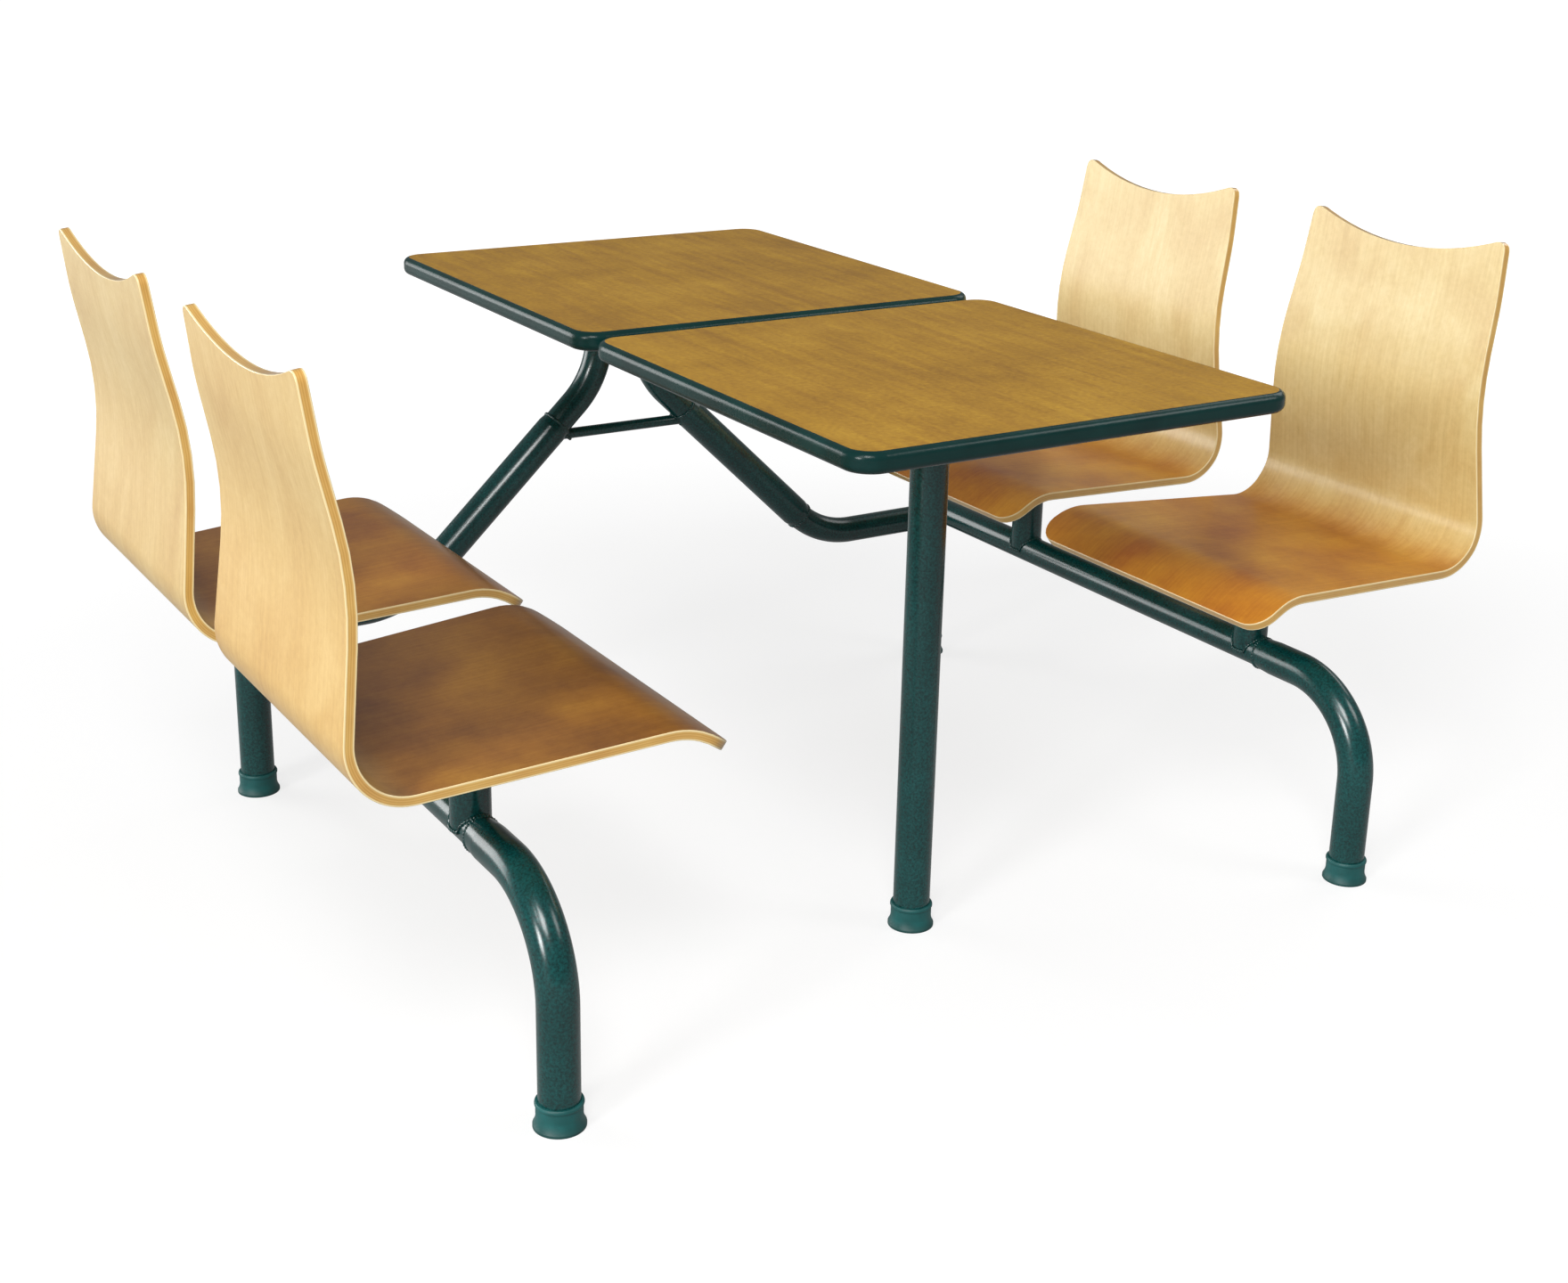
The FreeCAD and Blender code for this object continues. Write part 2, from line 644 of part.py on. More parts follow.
def seat_fixings():
    """Four seat screws, the stop pin and the clip that keeps the spindle in."""
    pieces = []
    for x, y in screw_places():
        seat = Vector(x, y, PLATE_BOTTOM)
        head = straight_rod(seat - UP * 3, seat, 11.0)
        shank = straight_rod(seat, seat + UP * (PLATE_THICKNESS + SEAT_SCREW_REACH), SEAT_SCREW)
        pieces.append(tilted_to_pan(head.fuse(shank)))
    pieces.append(straight_rod(
        Vector(-1, 0, STOP_PIN_HEIGHT), Vector(-STOP_PIN_REACH, 0, STOP_PIN_HEIGHT), STOP_PIN
    ))
    clip = ring(SPINDLE / 2 + 3, SPINDLE / 2 - 1.2, CIRCLIP_BOTTOM, CIRCLIP_BOTTOM + CIRCLIP_THICKNESS)
    mouth = box_between((10, -5, CIRCLIP_BOTTOM - 1), (20, 5, CIRCLIP_BOTTOM + 3))
    pieces.append(clip.cut(mouth))
    return Part.makeCompound(pieces)


def seat_post():
    """The short upright tube, saddled over the beam."""
    post = straight_tube(Vector(0, 0, BEAM_HEIGHT), Vector(0, 0, POST_TOP), STOUT_TUBE, STOUT_WALL)
    beam = straight_rod(Vector(0, -60, BEAM_HEIGHT), Vector(0, 60, BEAM_HEIGHT), SLIM_TUBE)
    return post.cut(beam)


LOWER_BUSH_BOTTOM = CIRCLIP_BOTTOM + CIRCLIP_THICKNESS + 0.3
LOWER_BUSH_TOP = LOWER_BUSH_BOTTOM + 20
UPPER_BUSH_BOTTOM = POST_TOP - 25


def swivel_bushes():
    """The two plastic bushes in a post; the upper one has a pocket for the stop pin."""
    bore = SPINDLE / 2 + RUNNING_CLEARANCE
    body = STOUT_BORE / 2 - 0.1
    flange_top = HEAD_UNDERSIDE - THRUST_CLEARANCE
    lower = ring(body, bore, LOWER_BUSH_BOTTOM, LOWER_BUSH_TOP)
    upper = ring(body, bore, UPPER_BUSH_BOTTOM, POST_TOP)
    upper = upper.fuse(ring(STOUT_TUBE / 2, bore, POST_TOP, flange_top)).removeSplitter()
    half_angle = SWIVEL_LIMIT + 14
    pocket_bottom = STOP_PIN_HEIGHT - STOP_PIN / 2 - 1
    pocket = Part.makeCylinder(
        STOP_PIN_REACH + 1,
        flange_top - pocket_bottom,
        Vector(0, 0, pocket_bottom),
        UP,
        2 * half_angle,
    )
    pocket.rotate(Vector(0, 0, 0), UP, 180 - half_angle)
    return Part.makeCompound([lower, upper.cut(pocket)])


def return_spring():
    """The square-wire coil between the bushes that turns an empty seat to face the table."""
    height = UPPER_BUSH_BOTTOM - LOWER_BUSH_TOP - SPRING_WIRE
    coil = Part.makeHelix(height / SPRING_TURNS, height, SPRING_RADIUS)
    half = SPRING_WIRE / 2
    corners = [(-half, -half), (half, -half), (half, half), (-half, half), (-half, -half)]
    section = Part.makePolygon([Vector(SPRING_RADIUS + x, 0, z) for x, z in corners])
    wire = Part.Wire(coil).makePipeShell([section], True, True)
    wire.translate(Vector(0, 0, LOWER_BUSH_TOP + SPRING_WIRE / 2))
    return wire


def at_seat(shape, side, end):
    """A seat piece turned to face the table and moved to its post."""
    placed = shape.copy()
    if side < 0:
        placed.rotate(Vector(0, 0, 0), UP, 180)
    placed.translate(Vector(side * SEAT_LINE_X, SEAT_POST_Y[end], 0))
    return placed


# ---- Assembly --------------------------------------------------------------------------------

def table_parts():
    """The tops and the frame under them."""
    parts = {}
    for end, end_sign in (("near", -1), ("far", 1)):
        parts[f"{end}_top_core"] = top_core(end_sign)
        parts[f"{end}_top_laminate"] = top_laminate(end_sign)
        parts[f"{end}_top_edge_band"] = top_edge_band(end_sign)
    parts["near_cross_rail"] = cross_rail(CENTRE_LEG_Y)
    parts["middle_cross_rail"] = cross_rail(MIDDLE_CROSS_RAIL_Y)
    parts["far_cross_rail"] = cross_rail(FAR_LEG_Y)
    parts["near_head_plate"] = head_plate(110, 110, CENTRE_LEG_Y)
    parts["far_head_plate"] = head_plate(170, 70, FAR_LEG_Y)
    parts["rail_end_plugs"] = rail_end_plugs()
    parts["top_screws"] = top_screws()
    parts["centre_leg"] = centre_leg()
    parts["centre_foot"] = foot_boot(0, CENTRE_LEG_Y)
    parts["far_leg_caps"] = far_leg_caps()
    parts["strut_tie_bar"] = tie_bar()
    for name, side in SIDES.items():
        parts[f"{name}_rail"] = long_rail(side)
        parts[f"near_{name}_leg"] = near_leg(side)
        parts[f"far_{name}_leg"] = far_leg(side)
        parts[f"near_{name}_foot"] = foot_boot(side * SEAT_LINE_X, NEAR_LEG_Y)
        parts[f"far_{name}_foot"] = foot_boot(side * SEAT_LINE_X, FAR_LEG_Y)
        parts[f"{name}_seat_beam"] = seat_beam(side)
        parts[f"{name}_strut_low_bend"] = strut_low_bend(side)
        parts[f"{name}_strut"] = strut(side)
        parts[f"{name}_strut_high_bend"] = strut_high_bend(side)
    return parts


def seat_parts():
    """The four seats, with their posts and swivels."""
    pieces = {
        "seat_shell": seat_shell(),
        "swivel_plate": swivel_plate(),
        "spindle": spindle(),
        "seat_fixings": seat_fixings(),
        "seat_post": seat_post(),
        "swivel_bushes": swivel_bushes(),
    }
    spring = return_spring()
    parts = {}
    springs = []
    for name, side in SIDES.items():
        for end in SEAT_POST_Y:
            for piece, shape in pieces.items():
                parts[f"{end}_{name}_{piece}"] = at_seat(shape, side, end)
            springs.append(at_seat(spring, side, end))
    parts["return_springs"] = Part.makeCompound(springs)
    return parts


def main():
    os.makedirs("parts", exist_ok=True)
    parts = {**table_parts(), **seat_parts()}
    for name, shape in parts.items():
        shape.exportStep(f"parts/{name}.step")


main()
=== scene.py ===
import bmesh
import bpy
import json
import math
from mathutils import Matrix, Vector


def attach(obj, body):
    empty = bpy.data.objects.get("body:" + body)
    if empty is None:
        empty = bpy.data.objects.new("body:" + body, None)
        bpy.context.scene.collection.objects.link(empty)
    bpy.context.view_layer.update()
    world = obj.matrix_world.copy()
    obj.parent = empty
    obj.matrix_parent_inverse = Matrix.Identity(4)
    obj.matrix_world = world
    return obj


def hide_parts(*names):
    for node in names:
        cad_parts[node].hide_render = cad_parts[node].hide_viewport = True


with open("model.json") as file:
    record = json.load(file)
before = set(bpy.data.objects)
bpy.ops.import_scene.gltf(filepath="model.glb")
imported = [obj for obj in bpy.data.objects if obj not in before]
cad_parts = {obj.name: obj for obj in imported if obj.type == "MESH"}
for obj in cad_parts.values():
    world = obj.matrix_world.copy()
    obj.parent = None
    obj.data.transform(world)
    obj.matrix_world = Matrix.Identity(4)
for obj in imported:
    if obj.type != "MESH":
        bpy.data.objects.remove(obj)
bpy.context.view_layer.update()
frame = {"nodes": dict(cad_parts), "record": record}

# X runs across the table, Y along it to the far end, Z up from the floor. Sizes of the part are in
# millimetres, those with MM in metres. The grain map, the lights and the camera are in metres.

# ---- Sizes shared with the solids ------------------------------------------------------------

MM = 0.001
SEAT_LINE_X = 600 * MM
SEAT_POST_Y = {"near": -289 * MM, "far": 234 * MM}
SIDES = {"left": -1, "right": 1}

BOARD_THICKNESS = 12 * MM
BOARD_CORNERS = [                # under and rear face: outwards and up, from lip to top
    (-224.0, 384.0),
    (-164.0, 428.4),
    (227.0, 404.0),
    (200.5, 648.0),
    (228.0, 779.0),
    (241.5, 884.0),
]
BOARD_BENDS = (80.0, 71.0, 400.0, 500.0)    # radius at each corner between the ends
LIP_OUT = -209.0
LIP_HALF_WIDTH = 231.0
HEEL_HALF_WIDTH = 207.0
TOP_HALF_WIDTH = 176.0
HEEL_OUT = 150.0                 # where the pan's taper ends
SHOULDER_UP = 440.0              # where the back's taper starts
TOP_UP = 864.0                   # of the rear face; the front one stands 1.6 higher
TOP_DIP = 34.0                   # how deep the top edge is hollowed
LIP_CORNER = 36.0
TIP_ROUNDING = 16.0
EDGE_ROUNDING = 5.0
STOUT_RADIUS = 24.0              # the two tube sizes
SLIM_RADIUS = 21.0
BEAM_UP = 268.0
CROSS_RUN_UP = 250.0
FAR_LEG_Y = 498.0
CENTRE_LEG_Y = -321.0
LEG_MOUTH_Y = -318.0             # where the near leg ends on the beam
STRUT_LOW = Vector((320.0, FAR_LEG_Y, 297.0))
STRUT_HIGH = Vector((118.0, FAR_LEG_Y, 490.0))
STRUT_MOUTH = 12.0
UPRIGHT_X = 37.0
TIE_BAR_RADIUS = 8.0
TIE_BAR_UP = 480.0
STRUT_SWELL = 1.0                # how much stouter than the slim tube a strut is at the tie bar
FRAME_HEAD = 700.0
RAIL_X = 180.0
RAIL_UNDERSIDE = 705.0
TOP_SCREW_ROWS = (60.0, 317.0, 530.0)
TOP_SCREW_RADIUS = 5.4
SEAT_SCREW_GRID = (55.0, 45.0)
SEAT_SCREW_RADIUS = 6.2
PAN_UP = 418.17                  # the pan's underside at the swivel axis
PAN_TILT = math.radians(3.57)
PLATE_THICKNESS = 4.0

# ---- The board's mesh, the welds and the screw drives ----------------------------------------

STRAIGHT_STEP = 20.0             # rows along the board's straight runs and round its bends
BEND_STEP = math.radians(5)
LIP_ROWS = 7                     # rows that round the lip's corners
ROW_GAP = 6.0                    # the least between a row and the one at an end
BOARD_COLUMNS = 16
BACK_STARTS = 500.0              # how far along the board it has begun to rise for good
HOLLOW_REACH = 150.0             # how far below the top the rows follow its hollow
SLACK = 1.0                      # how near counts as there
RIM_TURN = 0.7                   # faces whose normals differ by more in height meet at a rim
VENEER_SLOPE = 0.9               # a face whose normal is higher than this is veneer
OUT_COLUMN = 1                   # what a station of the board's line holds where
UP_COLUMN = 2

WELD_RADIUS = 2.6
WELD_PITCH = 3.4                 # from ripple to ripple
WELD_RIPPLE = 0.17
WELD_UNEVENNESS = 0.07
WELD_STEPS = 160

DRIVE_RADIUS = 2.4               # the lobed socket in a screw's head
DRIVE_LOBES = 6
LOBE_DEPTH = 0.14
SCREW_STEPS = 36

# ---- The grain map, the floor and the camera -------------------------------------------------

UNSTAINED = 1.4                  # how far along the grain map the under and rear face lies
BOARD_SPACING = 2.6              # how far across the grain map one board lies from the next
STAIN_FADE = (0.385, 0.52)       # where along the board the pan's stain gives way
HONEY_FADE = (0.42, 0.8)         # where the lower back's warmer tone gives way
FACE_VENEER = 1.3 * MM

FLOOR_REACH = 40.0               # from the middle to each edge

PICTURE_WIDTH = 1760             # pixels, as the next three are
PICTURE_HEIGHT = 1440
PICTURE_CENTRE = (928.46, 621.16)    # where the camera's axis lies, across and down
FOCAL_LENGTH = 2399.75
SENSOR_WIDTH = 36.0              # millimetres
CAMERA_PLACE = (-1.47706, -2.36554, 1.33267)
CAMERA_AZIMUTH = math.radians(-33.064)
CAMERA_ELEVATION = math.radians(18.142)
CAMERA_ROLL = math.radians(1.563)


# ---- Materials -------------------------------------------------------------------------------

def colour(hex_value):
    """An sRGB hex value as a linear colour."""
    channels = [int(hex_value[i:i + 2], 16) / 255 for i in (1, 3, 5)]
    linear = [c / 12.92 if c <= 0.04045 else ((c + 0.055) / 1.055) ** 2.4 for c in channels]
    return (*linear, 1.0)


def add_node(tree, kind, settings=(), links=()):
    """Adds a node. Inputs go by name or number, "ramp" holds a colour ramp's stops."""
    node = tree.nodes.new(kind)
    for name, value in dict(settings).items():
        if name == "ramp":
            stops = node.color_ramp.elements
            while len(stops) < len(value):
                stops.new(0.5)
            for stop, (place, shade) in zip(stops, value):
                stop.position = place
                stop.color = shade
        elif isinstance(name, int) or name in node.inputs:
            node.inputs[name].default_value = value
        else:
            setattr(node, name, value)
    for name, socket in dict(links).items():
        tree.links.new(socket, node.inputs[name])
    return node


def new_finish(name, **settings):
    """A new material with one Principled shader; returns it, its tree and the shader."""
    material = bpy.data.materials.new(name)
    material.use_nodes = True
    tree = material.node_tree
    tree.nodes.clear()
    shader = add_node(tree, "ShaderNodeBsdfPrincipled", settings)
    add_node(tree, "ShaderNodeOutputMaterial", (), {"Surface": shader.outputs[0]})
    return material, tree, shader


def powder_coated_steel():
    """Polyester powder coat on steel tube: dark green, glossy, with an orange peel and a fleck.
    The fleck of about 1 mm is drawn as 3 mm, so that it shows."""
    material, tree, shader = new_finish("powder_coated_steel", **{
        "Roughness": 0.22, "IOR": 1.5,
    })
    place = add_node(tree, "ShaderNodeTexCoord").outputs["Object"]
    cloud = add_node(tree, "ShaderNodeTexNoise", {"Scale": 9.0, "Detail": 3.0}, {"Vector": place})
    tint = add_node(tree, "ShaderNodeValToRGB", {
        "ramp": [(0.3, colour("#063534")), (0.7, colour("#0B4342"))],
    }, {"Fac": cloud.outputs[0]})
    fleck = add_node(tree, "ShaderNodeTexNoise", {"Scale": 330.0, "Detail": 3.0, "Roughness": 0.7},
                     {"Vector": place})
    speck = add_node(tree, "ShaderNodeMapRange", {"From Min": 0.34, "From Max": 0.66},
                     {"Value": fleck.outputs[0]})
    mottled = add_node(tree, "ShaderNodeMix", {
        "data_type": "RGBA", "blend_type": "SOFT_LIGHT", 0: 0.55,
    }, {6: tint.outputs[0], 7: speck.outputs[0]})
    tree.links.new(mottled.outputs[2], shader.inputs["Base Color"])
    bump = add_node(tree, "ShaderNodeBump", {"Strength": 0.02, "Distance": 0.0004},
                    {"Height": fleck.outputs[0]})
    tree.links.new(bump.outputs[0], shader.inputs["Normal"])
    return material


def moulded_polyurethane():
    """Cast polyurethane table edging: deep green, satin, slightly uneven."""
    material, tree, shader = new_finish("moulded_polyurethane", **{
        "Roughness": 0.25, "IOR": 1.49, "Specular IOR Level": 0.2,
    })
    place = add_node(tree, "ShaderNodeTexCoord").outputs["Object"]
    cloud = add_node(tree, "ShaderNodeTexNoise", {"Scale": 14.0, "Detail": 4.0}, {"Vector": place})
    tint = add_node(tree, "ShaderNodeValToRGB", {
        "ramp": [(0.3, colour("#092725")), (0.7, colour("#0D3331"))],
    }, {"Fac": cloud.outputs[0]})
    tree.links.new(tint.outputs[0], shader.inputs["Base Color"])
    grain = add_node(tree, "ShaderNodeTexNoise", {"Scale": 260.0, "Detail": 3.0}, {"Vector": place})
    bump = add_node(tree, "ShaderNodeBump", {"Strength": 0.22, "Distance": 0.0008},
                    {"Height": grain.outputs[0]})
    tree.links.new(bump.outputs[0], shader.inputs["Normal"])
    return material


def moulded_rubber():
    """Moulded PVC foot: a lighter sea green, matt, darker in its lowest 12 mm."""
    material, tree, shader = new_finish("moulded_rubber", **{"IOR": 1.5})
    place = add_node(tree, "ShaderNodeTexCoord").outputs["Object"]
    cloud = add_node(tree, "ShaderNodeTexNoise", {"Scale": 45.0, "Detail": 5.0}, {"Vector": place})
    tint = add_node(tree, "ShaderNodeValToRGB", {
        "ramp": [(0.3, colour("#0C4A49")), (0.7, colour("#115C5B"))],
    }, {"Fac": cloud.outputs[0]})
    height = add_node(tree, "ShaderNodeSeparateXYZ", (), {"Vector": place})
    # Darker in the lowest 12 mm, where the foot meets the floor.
    low = add_node(tree, "ShaderNodeMapRange", {"From Min": 0.0, "From Max": 0.012},
                   {"Value": height.outputs[2]})
    darker_near_floor = add_node(tree, "ShaderNodeMix", {"data_type": "RGBA", 6: colour("#0F3F3D")},
                     {0: low.outputs[0], 7: tint.outputs[0]})
    tree.links.new(darker_near_floor.outputs[2], shader.inputs["Base Color"])
    rough = add_node(tree, "ShaderNodeMapRange", {"To Min": 0.42, "To Max": 0.62},
                     {"Value": cloud.outputs[0]})
    tree.links.new(rough.outputs[0], shader.inputs["Roughness"])
    grain = add_node(tree, "ShaderNodeTexNoise", {"Scale": 700.0, "Detail": 2.0}, {"Vector": place})
    bump = add_node(tree, "ShaderNodeBump", {"Strength": 0.3, "Distance": 0.0005},
                    {"Height": grain.outputs[0]})
    tree.links.new(bump.outputs[0], shader.inputs["Normal"])
    return material


def printed_laminate():
    """Melamine laminate with a maple print: ochre, clouded, with a faint grain along the table."""
    material, tree, shader = new_finish("printed_laminate", **{
        "IOR": 1.5, "Specular IOR Level": 0.25,
    })
    place = add_node(tree, "ShaderNodeTexCoord").outputs["Object"]
    along = add_node(tree, "ShaderNodeMapping", {"Scale": (70.0, 5.0, 1.0), "Rotation": (0, 0, 0.12)},
                     {"Vector": place})
    streak = add_node(tree, "ShaderNodeTexNoise",
                      {"Scale": 1.0, "Detail": 6.0, "Roughness": 0.62, "Distortion": 0.5},
                      {"Vector": along.outputs[0]})
    cloud = add_node(tree, "ShaderNodeTexNoise", {"Scale": 7.0, "Detail": 5.0, "Roughness": 0.65},
                     {"Vector": place})
    fleck = add_node(tree, "ShaderNodeTexNoise", {"Scale": 160.0, "Detail": 2.0}, {"Vector": place})
    base = add_node(tree, "ShaderNodeValToRGB", {
        "ramp": [(0.28, colour("#9A7020")), (0.50, colour("#AA7E24")), (0.72, colour("#B88C2C"))],
    }, {"Fac": cloud.outputs[0]})
    grain = add_node(tree, "ShaderNodeMix", {
        "data_type": "RGBA", "blend_type": "SOFT_LIGHT", 0: 0.6,
    }, {6: base.outputs[0], 7: streak.outputs[0]})
    specks = add_node(tree, "ShaderNodeMix", {
        "data_type": "RGBA", "blend_type": "SOFT_LIGHT", 0: 0.45,
    }, {6: grain.outputs[2], 7: fleck.outputs[0]})
    tree.links.new(specks.outputs[2], shader.inputs["Base Color"])
    rough = add_node(tree, "ShaderNodeMapRange", {"To Min": 0.34, "To Max": 0.5},
                     {"Value": streak.outputs[0]})
    tree.links.new(rough.outputs[0], shader.inputs["Roughness"])
    bump = add_node(tree, "ShaderNodeBump", {"Strength": 0.08, "Distance": 0.0004},
                    {"Height": fleck.outputs[0]})
    tree.links.new(bump.outputs[0], shader.inputs["Normal"])
    return material


def lacquered_birch():
    """Birch veneer under satin lacquer. Its UV map is the flat board in metres, so the fine grain
    follows the bend. The pan is stained amber with darker clouds, and the back is left pale.
    Light is painted in by board: the left boards' pans darker as painted shade from their own
    backs, the near-left one most; the lower back's warmer tone deeper there, also painted shade;
    the right boards' backs a touch whiter, a painted sheen."""
    material, tree, shader = new_finish("lacquered_birch", **{
        "Roughness": 0.45, "IOR": 1.5, "Specular IOR Level": 0.3,
        "Coat Weight": 0.5, "Coat Roughness": 0.26,
    })
    flat = add_node(tree, "ShaderNodeUVMap", {"uv_map": "flat_board"}).outputs[0]
    axes = add_node(tree, "ShaderNodeSeparateXYZ", (), {"Vector": flat})
    fine_map = add_node(tree, "ShaderNodeMapping", {"Scale": (4.0, 200.0, 1.0)}, {"Vector": flat})
    fine = add_node(tree, "ShaderNodeTexNoise", {"Scale": 1.0, "Detail": 4.0, "Roughness": 0.6},
                    {"Vector": fine_map.outputs[0]})
    figure_map = add_node(tree, "ShaderNodeMapping", {"Scale": (6.5, 11.0, 1.0)}, {"Vector": flat})
    figure = add_node(tree, "ShaderNodeTexNoise",
                      {"Scale": 1.0, "Detail": 5.0, "Roughness": 0.6, "Distortion": 0.6},
                      {"Vector": figure_map.outputs[0]})
    cloud = add_node(tree, "ShaderNodeTexNoise", {"Scale": 7.0, "Detail": 3.0, "Roughness": 0.5},
                     {"Vector": flat})
    back = add_node(tree, "ShaderNodeValToRGB", {
        "ramp": [(0.28, colour("#CDA96A")), (0.5, colour("#D7B87A")), (0.72, colour("#DFC48A"))],
    }, {"Fac": figure.outputs[0]})
    height = add_node(tree, "ShaderNodeMath", {"operation": "MODULO", 1: UNSTAINED},
                      {0: axes.outputs[0]})
    # Which board, across the grain map: 0 for the near-left, a half for the far-left, 1 for the right
    # ones. It sets the painted light below.
    board = add_node(tree, "ShaderNodeMapRange", {"From Max": 2 * BOARD_SPACING},
                     {"Value": axes.outputs[1]})
    # The lower back's warmer tone, deepest on the near-left board and least on the right ones: partly
    # its tone, partly painted shade.
    honey_and_shade_depth = add_node(tree, "ShaderNodeMapRange", {"To Min": 0.75, "To Max": 0.25},
                      {"Value": board.outputs[0]})
    lower_back_honey_and_shade = add_node(tree, "ShaderNodeMapRange", {
        "interpolation_type": "SMOOTHSTEP", "From Min": HONEY_FADE[0], "From Max": HONEY_FADE[1],
        "To Max": 0.0,
    }, {"Value": height.outputs[0], "To Min": honey_and_shade_depth.outputs[0]})
    honey = add_node(tree, "ShaderNodeMix", {
        "data_type": "RGBA", "blend_type": "MULTIPLY", 7: colour("#F6E6C6"),
    }, {0: lower_back_honey_and_shade.outputs[0], 6: back.outputs[0]})
    # A warmer tint on the left boards, a cooler whiter one on the right: a painted sheen on the right
    # boards' backs.
    tone = add_node(tree, "ShaderNodeMix", {
        "data_type": "RGBA", 6: colour("#FFFBEC"), 7: colour("#F5FCFF"),
    }, {0: board.outputs[0]})
    toned = add_node(tree, "ShaderNodeMix", {"data_type": "RGBA", "blend_type": "MULTIPLY", 0: 1.0},
                     {6: honey.outputs[2], 7: tone.outputs[2]})
    # The left boards' pans darker: painted shade from their own backs. The right boards' pans lighter
    # and more saturated, as lit.
    shaded_pan = add_node(tree, "ShaderNodeValToRGB", {
        "ramp": [(0.32, colour("#7E5126")), (0.5, colour("#966327")), (0.68, colour("#A8742A"))],
    }, {"Fac": cloud.outputs[0]})
    lit_pan = add_node(tree, "ShaderNodeValToRGB", {
        "ramp": [(0.32, colour("#A8611B")), (0.5, colour("#C07C1E")), (0.68, colour("#D09028"))],
    }, {"Fac": cloud.outputs[0]})
    pan = add_node(tree, "ShaderNodeMix", {"data_type": "RGBA"},
                   {0: board.outputs[0], 6: shaded_pan.outputs[0], 7: lit_pan.outputs[0]})
    wander = add_node(tree, "ShaderNodeMath", {"operation": "MULTIPLY_ADD", 1: 0.05},
                      {0: cloud.outputs[0], 2: axes.outputs[0]})
    rise = add_node(tree, "ShaderNodeMapRange", {
        "interpolation_type": "SMOOTHSTEP", "From Min": STAIN_FADE[0], "From Max": STAIN_FADE[1],
    }, {"Value": wander.outputs[0]})
    stain = add_node(tree, "ShaderNodeMix", {"data_type": "RGBA"},
                     {0: rise.outputs[0], 6: pan.outputs[2], 7: toned.outputs[2]})
    grain = add_node(tree, "ShaderNodeMix", {
        "data_type": "RGBA", "blend_type": "SOFT_LIGHT", 0: 0.35,
    }, {6: stain.outputs[2], 7: fine.outputs[0]})
    mottle = add_node(tree, "ShaderNodeTexNoise", {"Scale": 90.0, "Detail": 6.0, "Roughness": 0.75},
                      {"Vector": flat})
    patchy = add_node(tree, "ShaderNodeMix", {
        "data_type": "RGBA", "blend_type": "SOFT_LIGHT", 0: 0.4,
    }, {6: grain.outputs[2], 7: mottle.outputs[0]})
    tree.links.new(patchy.outputs[2], shader.inputs["Base Color"])
    bump = add_node(tree, "ShaderNodeBump", {"Strength": 0.06, "Distance": 0.0003},
                    {"Height": fine.outputs[0]})
    tree.links.new(bump.outputs[0], shader.inputs["Normal"])
    return material


def plywood_edge():
    """The cut and rounded edge of the board: nine veneers of about 1.3 mm, hardly told apart under
    a golden lacquer that is thick and glossy there. A pale cream line along either face veneer is
    partly the paler face veneer and partly a painted highlight on the rounded arris."""
    material, tree, shader = new_finish("plywood_edge", **{
        "Roughness": 0.34, "IOR": 1.5, "Specular IOR Level": 0.4,
        "Coat Weight": 0.9, "Coat Roughness": 0.16,
    })
    flat = add_node(tree, "ShaderNodeUVMap", {"uv_map": "flat_board"}).outputs[0]
    layers = add_node(tree, "ShaderNodeTexWave", {
        "wave_type": "BANDS", "bands_direction": "Y", "Scale": 120.0, "Distortion": 0.6,
        "Detail": 2.0, "Detail Scale": 0.15,
    }, {"Vector": flat})
    cloud = add_node(tree, "ShaderNodeTexNoise", {"Scale": 16.0, "Detail": 4.0}, {"Vector": flat})
    tone = add_node(tree, "ShaderNodeValToRGB", {
        "ramp": [(0.0, colour("#C8984A")), (0.5, colour("#D0A152")), (1.0, colour("#D8AC5E"))],
    }, {"Fac": layers.outputs[0]})
    warm = add_node(tree, "ShaderNodeMix", {
        "data_type": "RGBA", "blend_type": "SOFT_LIGHT", 0: 0.6,
    }, {6: tone.outputs[0], 7: cloud.outputs[0]})
    depth = add_node(tree, "ShaderNodeSeparateXYZ", (), {"Vector": flat})
    middle = BOARD_THICKNESS / 2
    from_middle = add_node(tree, "ShaderNodeMath", {"operation": "SUBTRACT", 1: middle},
                           {0: depth.outputs[1]})
    off_middle = add_node(tree, "ShaderNodeMath", {"operation": "ABSOLUTE"},
                          {0: from_middle.outputs[0]})
    # The face veneers as a cream line: partly their paler wood, partly a painted highlight on the
    # rounded arris.
    face_ply_and_highlight = add_node(tree, "ShaderNodeMapRange", {
        "interpolation_type": "SMOOTHSTEP",
        "From Min": middle - 2 * FACE_VENEER, "From Max": middle - FACE_VENEER,
    }, {"Value": off_middle.outputs[0]})
    plies_and_highlight = add_node(tree, "ShaderNodeMix", {"data_type": "RGBA", 7: colour("#F2DCA6")},
                     {0: face_ply_and_highlight.outputs[0], 6: warm.outputs[2]})
    tree.links.new(plies_and_highlight.outputs[2], shader.inputs["Base Color"])
    bump = add_node(tree, "ShaderNodeBump", {"Strength": 0.05, "Distance": 0.0003},
                    {"Height": layers.outputs[0]})
    tree.links.new(bump.outputs[0], shader.inputs["Normal"])
    return material


